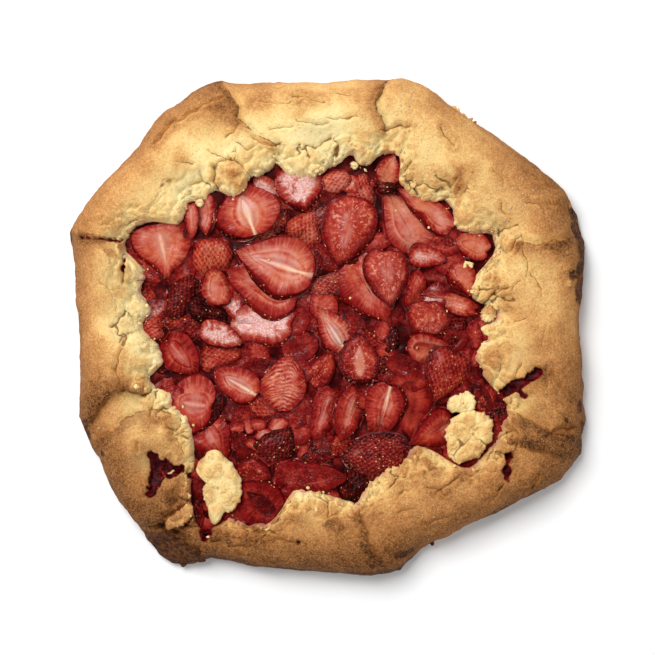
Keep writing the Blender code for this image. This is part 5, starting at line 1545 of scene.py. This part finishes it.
def makeCrumbs():
    look = crumbLook
    dice = random.Random(21)
    pieces = [p for p in bpy.context.scene.collection.objects if p.name not in ("pips", "jelly")]
    ground = treeOf(*[p.data for p in pieces if p.type == "MESH"])
    spots = list(look["placed"])
    for _ in range(look["alongLip"]):
        angle = dice.uniform(0, 360)
        out = dice.gauss(1.8, 2.0)
        x, y = polar(angle, float(lipRadius(angle)) + out)
        size = 0.35 + (1.1 if out > 1 else 0.4) * dice.random() ** 2.2
        spots.append((x, y, size, dice.uniform(0.05, 0.35)))
    for _ in range(look["onFruit"]):
        x, y = polar(dice.uniform(0, 360), 75 * math.sqrt(dice.random()))
        spots.append((x, y, dice.uniform(0.3, 0.7), dice.uniform(0.0, 0.5)))
    points, faces, toasts, first = [], [], [], 0
    for k, (x, y, size, toast) in enumerate(spots):
        shape, shapeFaces = ball(9, 14) if size > 0.9 else ball(6, 9)
        place = np.array([x, y])
        height = heightOn(ground, [place], -1)[0]
        while height < 5:  # outside the crust: it hangs on the rim
            place = place * (1 - 0.4 / np.hypot(*place))
            height = min(heightOn(ground, [place], -1)[0], 15.5)
        bent = shape * (1 + 0.75 * roughNoise(shape + k * 7.7, 0.9, 91, 3))[:, None]
        bent = bent * (1, 0.6 + 0.5 * dice.random(), 0.45)
        turn = dice.uniform(0, 6.28)
        spun = np.column_stack([bent[:, 0] * math.cos(turn) - bent[:, 1] * math.sin(turn),
                                bent[:, 0] * math.sin(turn) + bent[:, 1] * math.cos(turn), bent[:, 2]])
        points.append(spun * size + (*place, height - 0.05 * size))
        faces += [f + first for f in shapeFaces]
        toasts.append(toast + 0.12 * spun[:, 2])
        first += len(shape)
    marks = {"toast": np.concatenate(toasts)}
    for mark in ("crack", "hole", "burn", "fromLip"):
        marks[mark] = np.full(first, farOff)
    for mark in ("dull", "hollow", "thin", "thinNear"):
        marks[mark] = np.zeros(first)
    addPiece("crumbs", np.vstack(points), faces, marks, dough, "dough")
    grainPoints, grainFaces = [], []
    cube = np.array([(x, y, z) for x in (-1, 1) for y in (-1, 1) for z in (-1, 1)]) * 0.5
    sides = np.array([(0, 1, 3, 2), (4, 6, 7, 5), (0, 4, 5, 1), (2, 3, 7, 6), (0, 2, 6, 4), (1, 5, 7, 3)])
    while len(grainPoints) < look["sugar"]:
        angle = dice.uniform(0, 360)
        place = polar(angle, dice.uniform(float(lipRadius(angle)) + 1, 127))
        thick = 0
        for a, r, wide, much in look["sweet"]:
            thick += much * bell(distanceTo(place[None], a, r)[0], wide)
        height = heightOn(ground, [place], -1)[0]
        inHole = False
        for bends, width in crustLook["holes"]:
            inHole = inHole or abs(lineDistance(place[None], polarLine(bends))[0][0]) < width + 1.2
        if dice.random() > thick or height < 15 or inHole:
            continue
        spin = Vector([dice.uniform(-1, 1) for _ in range(4)]).normalized()
        turned = np.array(Quaternion(spin).to_matrix())
        grainFaces.append(sides + 8 * len(grainPoints))
        grainPoints.append(cube * dice.uniform(0.14, 0.30) @ turned + (*place, height + 0.06))
    s = Shader("sugar", Roughness=0.3, Specular_IOR_Level=0.5)
    tint = s.noise(s.place(), 3, 2)
    s.feed(Base_Color=s.ramp(tint, [(0.3, (0.64, 0.46, 0.26)), (0.7, (0.80, 0.66, 0.46))]))
    addPiece("sugar", np.vstack(grainPoints), grainFaces, {}, s.material, "crust")
    print("crumbs:", len(spots), "grains of sugar:", len(grainPoints))


makeCrumbs()


# floor, lights and camera
studio = {
    "cameraHeight": 0.925,
    "lens": 100,
    "centreY": -0.00075,
    "floor": (0.95, 0.95, 0.95),
    "sky": 0.85,  # from the sides; overhead it is darker, so that wet fruit looks deep
    "zenith": 0.12,
    "key": 21.0,
    "keyFrom": (-0.48, 0.58, 1.3),
    "keySize": 0.75,
}


def makeStudio():
    mesh = bpy.data.meshes.new("floor")
    mesh.from_pydata([(-3, -3, 0), (3, -3, 0), (3, 3, 0), (-3, 3, 0)], [], [(0, 1, 2, 3)])
    floor = bpy.data.objects.new("floor", mesh)
    bpy.context.scene.collection.objects.link(floor)
    s = Shader("paleFloor", Base_Color=(*studio["floor"], 1), Roughness=0.9, Specular_IOR_Level=0.1)
    mesh.materials.append(s.material)
    world = bpy.data.worlds.new("studioLight")
    world.use_nodes = True
    tree = world.node_tree
    direction = tree.nodes.new("ShaderNodeTexCoord")
    parts = tree.nodes.new("ShaderNodeSeparateXYZ")
    fade = tree.nodes.new("ShaderNodeMapRange")
    fades = {"From Min": 0.55, "From Max": 0.9, "To Min": studio["sky"], "To Max": studio["zenith"]}
    for key, value in fades.items():
        fade.inputs[key].default_value = value
    tree.links.new(direction.outputs["Generated"], parts.inputs[0])
    tree.links.new(parts.outputs["Z"], fade.inputs["Value"])
    tree.links.new(fade.outputs[0], tree.nodes["Background"].inputs["Strength"])
    tree.nodes["Background"].inputs["Color"].default_value = (1, 1, 1, 1)
    bpy.context.scene.world = world
    light = bpy.data.lights.new("softbox", "AREA")
    light.energy = studio["key"]
    light.size = studio["keySize"]
    box = bpy.data.objects.new("softbox", light)
    box.location = studio["keyFrom"]
    box.rotation_euler = (-Vector(studio["keyFrom"])).to_track_quat("-Z", "Y").to_euler()
    bpy.context.scene.collection.objects.link(box)
    lens = bpy.data.cameras.new("camera")
    lens.lens = studio["lens"]
    lens.sensor_width = 36
    camera = bpy.data.objects.new("camera", lens)
    camera.location = (0, studio["centreY"], studio["cameraHeight"])
    bpy.context.scene.collection.objects.link(camera)
    bpy.context.scene.camera = camera
    bpy.context.scene.view_settings.view_transform = "Standard"
    print("studio ready")


makeStudio()
